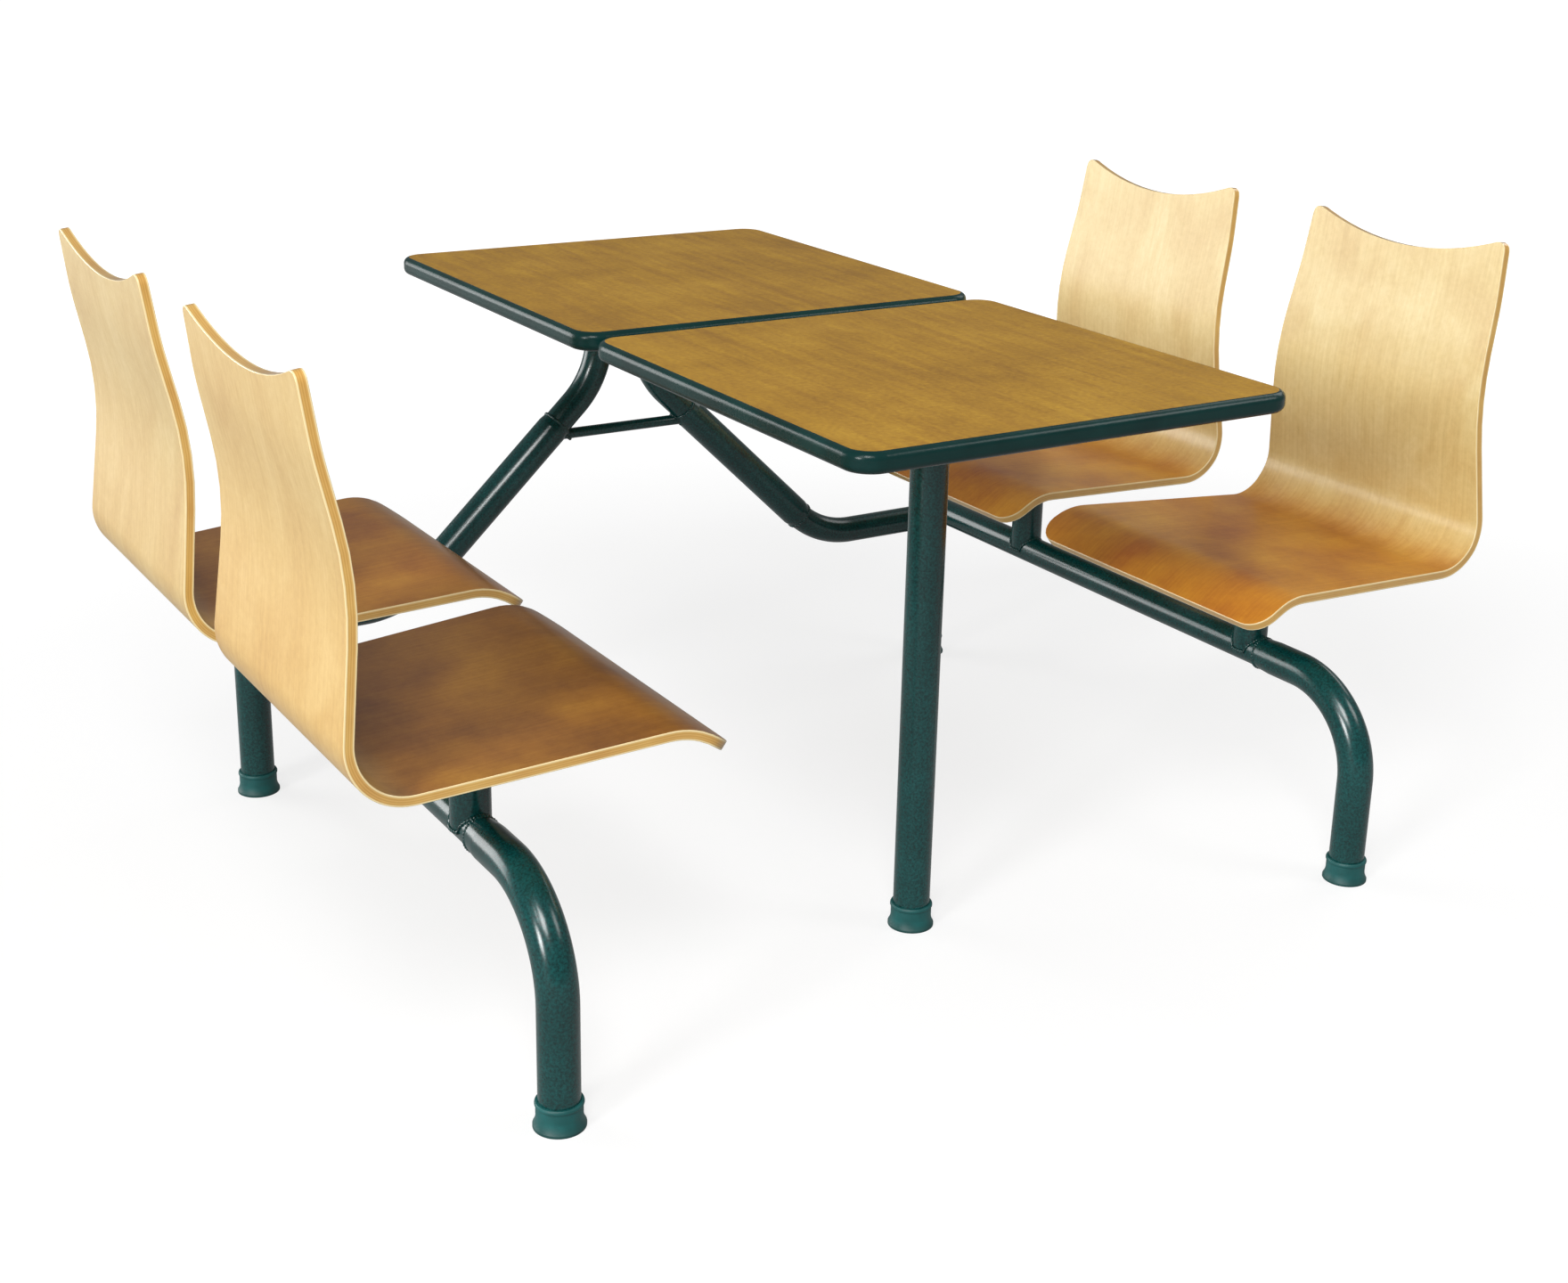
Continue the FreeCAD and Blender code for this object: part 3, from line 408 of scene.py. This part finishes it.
def zinc_plate():
    """Bright zinc plating on turned and pressed steel."""
    material, tree, shader = new_finish("zinc_plate", **{"Metallic": 1.0})
    place = add_node(tree, "ShaderNodeTexCoord").outputs["Object"]
    cloud = add_node(tree, "ShaderNodeTexNoise", {"Scale": 90.0, "Detail": 4.0}, {"Vector": place})
    tint = add_node(tree, "ShaderNodeValToRGB", {
        "ramp": [(0.3, colour("#A9ADB0")), (0.7, colour("#C9CCCB"))],
    }, {"Fac": cloud.outputs[0]})
    tree.links.new(tint.outputs[0], shader.inputs["Base Color"])
    rough = add_node(tree, "ShaderNodeMapRange", {"To Min": 0.22, "To Max": 0.4},
                     {"Value": cloud.outputs[0]})
    tree.links.new(rough.outputs[0], shader.inputs["Roughness"])
    return material


def moulded_plastic(name, dark, light, roughness):
    """Injection-moulded plastic with a fine spark-eroded grain."""
    material, tree, shader = new_finish(name, **{"Roughness": roughness, "IOR": 1.5})
    place = add_node(tree, "ShaderNodeTexCoord").outputs["Object"]
    cloud = add_node(tree, "ShaderNodeTexNoise", {"Scale": 60.0, "Detail": 3.0}, {"Vector": place})
    tint = add_node(tree, "ShaderNodeValToRGB", {"ramp": [(0.3, colour(dark)), (0.7, colour(light))]},
                    {"Fac": cloud.outputs[0]})
    tree.links.new(tint.outputs[0], shader.inputs["Base Color"])
    grain = add_node(tree, "ShaderNodeTexNoise", {"Scale": 1500.0, "Detail": 1.0}, {"Vector": place})
    bump = add_node(tree, "ShaderNodeBump", {"Strength": 0.2, "Distance": 0.0002},
                    {"Height": grain.outputs[0]})
    tree.links.new(bump.outputs[0], shader.inputs["Normal"])
    return material


def particle_board():
    """Raw particle board: pressed chips in straw and brown."""
    material, tree, shader = new_finish("particle_board", **{"Roughness": 0.8, "IOR": 1.45})
    place = add_node(tree, "ShaderNodeTexCoord").outputs["Object"]
    chips = add_node(tree, "ShaderNodeTexVoronoi", {"Scale": 320.0}, {"Vector": place})
    tint = add_node(tree, "ShaderNodeValToRGB", {
        "ramp": [(0.1, colour("#8E6B41")), (0.5, colour("#B18F60")), (0.9, colour("#CDB184"))],
    }, {"Fac": chips.outputs[1]})
    tree.links.new(tint.outputs[0], shader.inputs["Base Color"])
    bump = add_node(tree, "ShaderNodeBump", {"Strength": 0.4, "Distance": 0.0006},
                    {"Height": chips.outputs[0]})
    tree.links.new(bump.outputs[0], shader.inputs["Normal"])
    return material


# ---- The bent board of a seat ----------------------------------------------------------------

def board_line():
    """Stations along the board's under face: (distance, outwards, up, heading), in millimetres."""
    corners = [Vector(place) for place in BOARD_CORNERS]
    headings = [math.atan2((b - a).y, (b - a).x) for a, b in zip(corners, corners[1:])]
    stations = []
    distance = 0.0
    place = corners[0]

    def step(length, turn, count):
        nonlocal distance, place
        heading = stations[-1][3] if stations else headings[0]
        if not stations:
            stations.append((0.0, place.x, place.y, heading))
        for _ in range(count):
            half = turn / count / 2
            chord = length / count * (math.sin(half) / half if half else 1.0)
            place = place + Vector((math.cos(heading + half), math.sin(heading + half))) * chord
            heading += 2 * half
            distance += length / count
            stations.append((distance, place.x, place.y, heading))

    used = 0.0
    for index, radius in enumerate(BOARD_BENDS):
        turn = headings[index + 1] - headings[index]
        reach = radius * math.tan(abs(turn) / 2)
        run = (corners[index + 1] - corners[index]).length - used - reach
        step(run, 0.0, max(1, round(run / STRAIGHT_STEP)))
        step(radius * abs(turn), turn, max(4, round(abs(turn) / BEND_STEP)))
        used = reach
    run = (corners[-1] - corners[-2]).length - used
    step(run, 0.0, round(run / STRAIGHT_STEP))
    return stations


def on_line(stations, distance):
    """The station at a distance along the board."""
    for before, after in zip(stations, stations[1:]):
        if distance <= after[0]:
            break
    share = (distance - before[0]) / (after[0] - before[0])
    return [a + (b - a) * share for a, b in zip(before, after)]


def distance_at(stations, column, value, start):
    """The distance past start where a station's column reaches a value."""
    for before, after in zip(stations, stations[1:]):
        if before[0] >= start and before[column] <= value <= after[column]:
            share = (value - before[column]) / (after[column] - before[column])
            return before[0] + (after[0] - before[0]) * share
    raise ValueError("the board never reaches that value")


def taper(value, low, high, at_low, at_high):
    """A straight taper between two places, level beyond them."""
    share = min(1.0, max(0.0, (value - low) / (high - low)))
    return at_low + (at_high - at_low) * share


def half_width(stations, distance, lip):
    """Half the board's width at a distance along it."""
    _, out, up, _ = on_line(stations, distance)
    width = taper(out, LIP_OUT, HEEL_OUT, LIP_HALF_WIDTH, HEEL_HALF_WIDTH)
    if up > SHOULDER_UP:
        width = min(width, taper(up, SHOULDER_UP, TOP_UP, HEEL_HALF_WIDTH, TOP_HALF_WIDTH))
    into = distance - lip
    if into < LIP_CORNER:
        width += math.sqrt(LIP_CORNER ** 2 - (LIP_CORNER - into) ** 2) - LIP_CORNER
    return width


def top_height(across):
    """The height of the hollowed top edge."""
    radius = (TOP_HALF_WIDTH ** 2 + TOP_DIP ** 2) / (2 * TOP_DIP)
    return TOP_UP - TOP_DIP + radius - math.sqrt(radius ** 2 - across ** 2)


def board_rows(stations, lip, crown):
    """How far along the board each row of its mesh lies, from the lip's corners to the top."""
    rows = [lip + LIP_CORNER * (1 - math.cos(math.pi / 2 * i / LIP_ROWS))
            for i in range(LIP_ROWS + 1)]
    rows += [s[0] for s in stations if rows[-1] + ROW_GAP < s[0] < crown - ROW_GAP]
    return rows + [crown]


def flat_board(stations):
    """The board cut to its outline and edge-rounded while flat: X along it, Y across, Z through."""
    lip = distance_at(stations, OUT_COLUMN, LIP_OUT, 0.0)
    crown = distance_at(stations, UP_COLUMN, TOP_UP, BACK_STARTS)
    curve_from = crown - HOLLOW_REACH
    rows = board_rows(stations, lip, crown)
    board = bmesh.new()
    bmesh.ops.create_grid(board, x_segments=len(rows) - 1, y_segments=BOARD_COLUMNS, size=0.5)
    for vertex in board.verts:
        distance = rows[round((vertex.co.x + 0.5) * (len(rows) - 1))]
        across = 2 * vertex.co.y * half_width(stations, distance, lip)
        if distance > curve_from:
            fall = crown - distance_at(stations, UP_COLUMN, top_height(across), BACK_STARTS)
            distance -= fall * (distance - curve_from) / (crown - curve_from)
        vertex.co = Vector((distance, across, 0))
    raised = bmesh.ops.extrude_face_region(board, geom=board.faces[:])
    lifted = [item for item in raised["geom"] if isinstance(item, bmesh.types.BMVert)]
    bmesh.ops.translate(board, verts=lifted, vec=(0, 0, BOARD_THICKNESS / MM))
    bmesh.ops.recalc_face_normals(board, faces=board.faces[:])
    tips = [edge for edge in board.edges
            if abs(edge.verts[0].co.z - edge.verts[1].co.z) > SLACK
            and edge.verts[0].co.x > crown - SLACK
            and abs(edge.verts[0].co.y) > TOP_HALF_WIDTH - 2 * SLACK]
    bmesh.ops.bevel(board, geom=tips, affect="EDGES", offset=TIP_ROUNDING, segments=4,
                    profile=0.5, material=-1, clamp_overlap=True)
    board.normal_update()
    rims = [edge for edge in board.edges if len(edge.link_faces) == 2
            and abs(edge.link_faces[0].normal.z - edge.link_faces[1].normal.z) > RIM_TURN]
    bmesh.ops.bevel(board, geom=rims, affect="EDGES", offset=EDGE_ROUNDING, segments=4,
                    profile=0.5, material=-1, clamp_overlap=True)
    return board


def lay_out_grain(board, shift):
    """Records the flat board as the UV map, and sorts its faces into veneer and cut edge."""
    layer = board.loops.layers.uv.new("flat_board")
    board.normal_update()
    for face in board.faces:
        face.material_index = 0 if abs(face.normal.z) > VENEER_SLOPE else 1
        face.smooth = True
        for loop in face.loops:
            place = loop.vert.co * MM
            if face.material_index == 0:
                plain = UNSTAINED if face.normal.z < 0 else 0.0
                loop[layer].uv = (place.x + plain, place.y + shift)
            else:
                loop[layer].uv = (place.x + place.y + shift, place.z)


def bend_board(board, stations):
    """Bends the flat board to its line, keeping its thickness."""
    for vertex in board.verts:
        distance, across, height = vertex.co
        _, out, up, heading = on_line(stations, distance)
        lean = Vector((-math.sin(heading), math.cos(heading))) * height
        vertex.co = Vector((out + lean.x, across, up + lean.y)) * MM


def make_seat_board(end, side_name, finishes):
    """One seat shell, in place."""
    side = SIDES[side_name]
    stations = board_line()
    board = flat_board(stations)
    order = list(SEAT_POST_Y).index(end) + 2 * (side > 0)
    lay_out_grain(board, BOARD_SPACING * order)
    bend_board(board, stations)
    if side < 0:
        bmesh.ops.rotate(board, verts=board.verts[:], cent=(0, 0, 0),
                         matrix=Matrix.Rotation(math.pi, 3, "Z"))
    bmesh.ops.translate(board, verts=board.verts[:],
                        vec=(side * SEAT_LINE_X, SEAT_POST_Y[end], 0))
    bmesh.ops.recalc_face_normals(board, faces=board.faces[:])
    name = f"{end}_{side_name}_seat_board"
    mesh = bpy.data.meshes.new(name)
    board.to_mesh(mesh)
    board.free()
    for finish in finishes:
        mesh.materials.append(finish)
    piece = bpy.data.objects.new(name, mesh)
    bpy.context.scene.collection.objects.link(piece)
    shading = piece.modifiers.new("even_shading", "WEIGHTED_NORMAL")
    shading.weight = 60
    shading.keep_sharp = False
    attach(piece, f"{end}_{side_name}_seat")
    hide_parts(f"{end}_{side_name}_seat_shell")


# ---- Welds and screws ------------------------------------------------------------------------

def finish_piece(name, shapes, finish, body):
    """Joins shapes drawn in millimetres into one piece that rides on a body."""
    whole = bmesh.new()
    for shape in shapes:
        part = bpy.data.meshes.new(name)
        shape.to_mesh(part)
        shape.free()
        whole.from_mesh(part)
        bpy.data.meshes.remove(part)
    bmesh.ops.scale(whole, verts=whole.verts[:], vec=(MM, MM, MM))
    bmesh.ops.recalc_face_normals(whole, faces=whole.faces[:])
    for face in whole.faces:
        face.smooth = True
    mesh = bpy.data.meshes.new(name)
    whole.to_mesh(mesh)
    whole.free()
    mesh.materials.append(finish)
    piece = bpy.data.objects.new(name, mesh)
    bpy.context.scene.collection.objects.link(piece)
    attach(piece, body)


def weld_round(radius, centre, along, across, joint=lambda angle: 0.0):
    """A rippled bead round a tube. joint gives how far along the tube it lies at each angle."""
    bead = bmesh.new()
    upright = Matrix.Translation((radius, 0, 0)) @ Matrix.Rotation(math.pi / 2, 4, "X")
    bmesh.ops.create_circle(bead, segments=8, radius=WELD_RADIUS, matrix=upright)
    bmesh.ops.spin(bead, geom=bead.edges[:], cent=(0, 0, 0), axis=(0, 0, 1),
                   angle=2 * math.pi, steps=WELD_STEPS, use_merge=True)
    ripples = round(2 * math.pi * radius / WELD_PITCH)
    for vertex in bead.verts:
        angle = math.atan2(vertex.co.y, vertex.co.x)
        middle = Vector((math.cos(angle), math.sin(angle), 0)) * radius
        swell = 1 + WELD_RIPPLE * math.sin(ripples * angle) + WELD_UNEVENNESS * math.sin(3 * angle + 1)
        vertex.co = middle + (vertex.co - middle) * swell
        vertex.co.z += joint(angle)
    along = Vector(along).normalized()
    across = Vector(across).normalized()
    turn = Matrix((across, along.cross(across), along)).transposed()
    bmesh.ops.transform(bead, matrix=Matrix.Translation(centre) @ turn.to_4x4(), verts=bead.verts[:])
    return bead


def over_beam(angle):
    """How far above the beam's centre line a post meets it."""
    return math.sqrt(max(0.0, SLIM_RADIUS ** 2 - (STOUT_RADIUS * math.cos(angle)) ** 2))


def into_leg(angle):
    """How far from the leg's centre line a slim tube meets it."""
    return -math.sqrt(STOUT_RADIUS ** 2 - (SLIM_RADIUS * math.cos(angle)) ** 2)


def into_strut(angle):
    """How far from the middle the tie bar meets a strut's narrowing head."""
    rise = TIE_BAR_UP + TIE_BAR_RADIUS * math.sin(angle) - STRUT_HIGH.z
    lean = STRUT_LOW - STRUT_HIGH
    depth = math.sqrt((SLIM_RADIUS + STRUT_SWELL) ** 2 - (TIE_BAR_RADIUS * math.cos(angle)) ** 2)
    return STRUT_HIGH.x + (rise * lean.x + depth * lean.length) / lean.z


def make_welds(finish):
    """Every weld of the frame, in four groups."""
    posts = []
    beams = []
    struts = []
    heads = [weld_round(STOUT_RADIUS, (0, CENTRE_LEG_Y, FRAME_HEAD), (0, 0, 1), (1, 0, 0))]
    for side in SIDES.values():
        x = side * SEAT_LINE_X / MM
        for y in SEAT_POST_Y.values():
            posts.append(weld_round(STOUT_RADIUS, (x, y / MM, BEAM_UP), (0, 0, 1), (1, 0, 0), over_beam))
        beams.append(weld_round(SLIM_RADIUS, (x, LEG_MOUTH_Y, BEAM_UP), (0, 1, 0), (1, 0, 0)))
        beams.append(weld_round(SLIM_RADIUS, (x, FAR_LEG_Y, BEAM_UP), (0, 1, 0), (1, 0, 0), into_leg))
        beams.append(weld_round(SLIM_RADIUS, (x, FAR_LEG_Y, CROSS_RUN_UP), (side, 0, 0), (0, 1, 0),
                                into_leg))
        mirrored = Vector((side, 1, 1))
        low = STRUT_LOW * mirrored
        high = STRUT_HIGH * mirrored
        run = (high - low).normalized()
        for mouth in (low - run * STRUT_MOUTH, high + run * STRUT_MOUTH):
            struts.append(weld_round(SLIM_RADIUS, mouth, run, (0, 1, 0)))
        struts.append(weld_round(TIE_BAR_RADIUS, (0, FAR_LEG_Y, TIE_BAR_UP), (side, 0, 0), (0, 1, 0),
                                 into_strut))
        heads.append(weld_round(SLIM_RADIUS, (side * UPRIGHT_X, FAR_LEG_Y, FRAME_HEAD), (0, 0, 1),
                                (1, 0, 0)))
    groups = {"seat_post_welds": posts, "beam_welds": beams, "strut_welds": struts, "head_welds": heads}
    for name, beads in groups.items():
        finish_piece(name, beads, finish, "frame")


def screw_head(radius, place):
    """A domed head with a six-lobed drive, facing down from its place."""
    head = bmesh.new()
    outline = [
        (radius, 0.0), (radius, 1.0), (radius * 0.93, 2.2), (radius * 0.75, 3.4),
        (2.9, 4.4), (2.5, 4.5), (2.3, 4.2), (2.1, 3.2),
    ]
    points = [head.verts.new((out, 0, -down)) for out, down in outline]
    for before, after in zip(points, points[1:]):
        head.edges.new((before, after))
    bmesh.ops.spin(head, geom=head.edges[:] + head.verts[:], cent=(0, 0, 0), axis=(0, 0, 1),
                   angle=2 * math.pi, steps=SCREW_STEPS, use_merge=True)
    bmesh.ops.holes_fill(head, edges=head.edges[:], sides=0)
    for vertex in head.verts:
        if vertex.co.xy.length < DRIVE_RADIUS:
            angle = math.atan2(vertex.co.y, vertex.co.x)
            vertex.co.xy *= 1 + LOBE_DEPTH * math.cos(DRIVE_LOBES * angle)
    bmesh.ops.translate(head, verts=head.verts[:], vec=place)
    return head


def make_top_screws(finish):
    """The heads under the long rails."""
    heads = [screw_head(TOP_SCREW_RADIUS, (side * RAIL_X, end * row, RAIL_UNDERSIDE))
             for side in SIDES.values() for end in (-1, 1) for row in TOP_SCREW_ROWS]
    finish_piece("top_screw_heads", heads, finish, "frame")


def make_seat_screws(end, side_name, finish):
    """The four heads under one swivel plate, square to the pan."""
    side = SIDES[side_name]
    out, across = SEAT_SCREW_GRID
    heads = []
    for x, y in ((-out, -across), (-out, across), (out, -across), (out, across)):
        head = screw_head(SEAT_SCREW_RADIUS, (x, y, PAN_UP - PLATE_THICKNESS))
        bmesh.ops.rotate(head, verts=head.verts[:], cent=(0, 0, PAN_UP),
                         matrix=Matrix.Rotation(PAN_TILT, 3, "Y"))
        if side < 0:
            bmesh.ops.rotate(head, verts=head.verts[:], cent=(0, 0, 0),
                             matrix=Matrix.Rotation(math.pi, 3, "Z"))
        bmesh.ops.translate(head, verts=head.verts[:],
                            vec=(side * SEAT_LINE_X / MM, SEAT_POST_Y[end] / MM, 0))
        heads.append(head)
    finish_piece(f"{end}_{side_name}_seat_screw_heads", heads, finish,
                 f"{end}_{side_name}_seat")


# ---- Finishes --------------------------------------------------------------------------------

def make_finishes():
    """One finish for each slot of the solids."""
    return {
        "green_powder_coat": powder_coated_steel(),
        "edge_band": moulded_polyurethane(),
        "green_rubber": moulded_rubber(),
        "wood_laminate": printed_laminate(),
        "core_board": particle_board(),
        "zinc_steel": zinc_plate(),
        "green_plastic": moulded_plastic("green_polyethylene", "#1B4243", "#25504E", 0.38),
        "black_plastic": moulded_plastic("black_polyethylene", "#101616", "#1B2222", 0.45),
        "white_nylon": moulded_plastic("natural_nylon", "#DCD8CC", "#EDEAE0", 0.4),
    }


def dress_solids(finishes):
    """Gives each solid that stays the finish of its slot."""
    slots = {row["node"]: row["material_slot"] for row in frame["record"]["subparts"]}
    for name, solid in frame["nodes"].items():
        finish = finishes.get(slots.get(name))
        if finish is None:
            continue
        for place in solid.material_slots:
            place.link = "OBJECT"
            place.material = finish


# ---- Studio ----------------------------------------------------------------------------------

def seen_rays(tree, mirrored):
    """1 where the camera looks straight at a surface, less in a reflection, 0 for its light."""
    rays = add_node(tree, "ShaderNodeLightPath")
    return add_node(tree, "ShaderNodeMath", {"operation": "MULTIPLY_ADD", 1: mirrored}, {
        0: rays.outputs["Is Glossy Ray"], 2: rays.outputs["Is Camera Ray"],
    }).outputs[0]


def make_floor():
    """A pale floor, wide enough to have no edge in view."""
    shape = bmesh.new()
    bmesh.ops.create_grid(shape, x_segments=1, y_segments=1, size=FLOOR_REACH)
    mesh = bpy.data.meshes.new("floor")
    shape.to_mesh(mesh)
    shape.free()
    floor = bpy.data.objects.new("floor", mesh)
    bpy.context.scene.collection.objects.link(floor)
    material, tree, shader = new_finish("pale_floor", **{
        "Roughness": 0.9, "Base Color": colour("#8C8C8C"), "Emission Color": colour("#FFFFFF"),
    })
    place = add_node(tree, "ShaderNodeTexCoord").outputs["Object"]
    reach = add_node(tree, "ShaderNodeVectorMath", {"operation": "LENGTH"}, {0: place})
    # The floor glows for the camera, less within a few metres of the middle so that the cast shadows
    # there still show, and fully further out, where the lamps light it less: painted light. Reflections
    # see 0.3 of that glow.
    white = add_node(tree, "ShaderNodeMapRange", {
        "interpolation_type": "SMOOTHSTEP", "From Min": 1.2, "From Max": 4.0,
        "To Min": 0.73, "To Max": 1.0,
    }, {"Value": reach.outputs["Value"]})
    seen = seen_rays(tree, 0.3)
    glow = add_node(tree, "ShaderNodeMath", {"operation": "MULTIPLY"},
                    {0: seen, 1: white.outputs[0]})
    tree.links.new(glow.outputs[0], shader.inputs["Emission Strength"])
    mesh.materials.append(material)


def add_softbox(name, place, aim, size, power):
    """A rectangular area light, turned towards what it lights."""
    data = bpy.data.lights.new(name, "AREA")
    data.shape = "RECTANGLE"
    data.size, data.size_y = size
    data.energy = power
    lamp = bpy.data.objects.new(name, data)
    lamp.location = place
    lamp.rotation_euler = (Vector(aim) - Vector(place)).to_track_quat("-Z", "Y").to_euler()
    bpy.context.scene.collection.objects.link(lamp)


def light_studio():
    """A low key and a window from the left, four smaller lights and a white surround."""
    world = bpy.data.worlds.new("studio")
    bpy.context.scene.world = world
    world.use_nodes = True
    tree = world.node_tree
    background = tree.nodes["Background"]
    background.inputs[0].default_value = colour("#FFFFFF")
    level = add_node(tree, "ShaderNodeMapRange", {"To Min": 0.2, "To Max": 1.0},
                     {"Value": seen_rays(tree, 0.05)})
    tree.links.new(level.outputs[0], background.inputs[1])
    add_softbox("key", (-12.0, -5.0, 4.6), (0.1, 0, 0.5), (3.0, 3.0), 1000)
    add_softbox("window", (-4.2, 5.1, 1.6), (0.7, 0, 0.7), (4.0, 3.0), 235)
    add_softbox("front", (-2.2, -3.0, 3.8), (0.2, 0, 0.5), (1.5, 1.5), 130)
    add_softbox("strip", (-3.45, -2.0, 3.35), (-0.2, 0.5, 0.5), (0.8, 0.8), 17)
    add_softbox("side", (2.4, -2.4, 2.8), (0.6, 0, 0.4), (1.2, 1.2), 26)
    add_softbox("rear", (5.2, 0.6, 4.2), (0, 0, 0.5), (3.0, 3.0), 60)
    bpy.context.scene.view_settings.view_transform = "Standard"


def place_camera():
    """A camera at the near left, a little above the tops."""
    level = Vector((math.cos(CAMERA_AZIMUTH), math.sin(CAMERA_AZIMUTH), 0))
    ahead = Vector((
        -math.sin(CAMERA_AZIMUTH) * math.cos(CAMERA_ELEVATION),
        math.cos(CAMERA_AZIMUTH) * math.cos(CAMERA_ELEVATION),
        -math.sin(CAMERA_ELEVATION),
    ))
    upright = level.cross(ahead)
    right = level * math.cos(CAMERA_ROLL) + upright * math.sin(CAMERA_ROLL)
    up = upright * math.cos(CAMERA_ROLL) - level * math.sin(CAMERA_ROLL)
    turn = Matrix((right, up, -ahead)).transposed().to_4x4()
    data = bpy.data.cameras.new("camera")
    data.sensor_width = SENSOR_WIDTH
    data.lens = FOCAL_LENGTH / PICTURE_WIDTH * SENSOR_WIDTH
    data.shift_x = (PICTURE_WIDTH / 2 - PICTURE_CENTRE[0]) / PICTURE_WIDTH
    data.shift_y = (PICTURE_CENTRE[1] - PICTURE_HEIGHT / 2) / PICTURE_WIDTH
    data.clip_end = 100
    camera = bpy.data.objects.new("camera", data)
    camera.matrix_world = Matrix.Translation(CAMERA_PLACE) @ turn
    bpy.context.scene.collection.objects.link(camera)
    bpy.context.scene.camera = camera


# ---- Assembly --------------------------------------------------------------------------------

finishes = make_finishes()
dress_solids(finishes)
make_welds(finishes["green_powder_coat"])
make_top_screws(finishes["zinc_steel"])
veneer = lacquered_birch()
cut_edge = plywood_edge()
for seat_end in SEAT_POST_Y:
    for seat_side in SIDES:
        make_seat_board(seat_end, seat_side, (veneer, cut_edge))
        make_seat_screws(seat_end, seat_side, finishes["zinc_steel"])
make_floor()
light_studio()
place_camera()
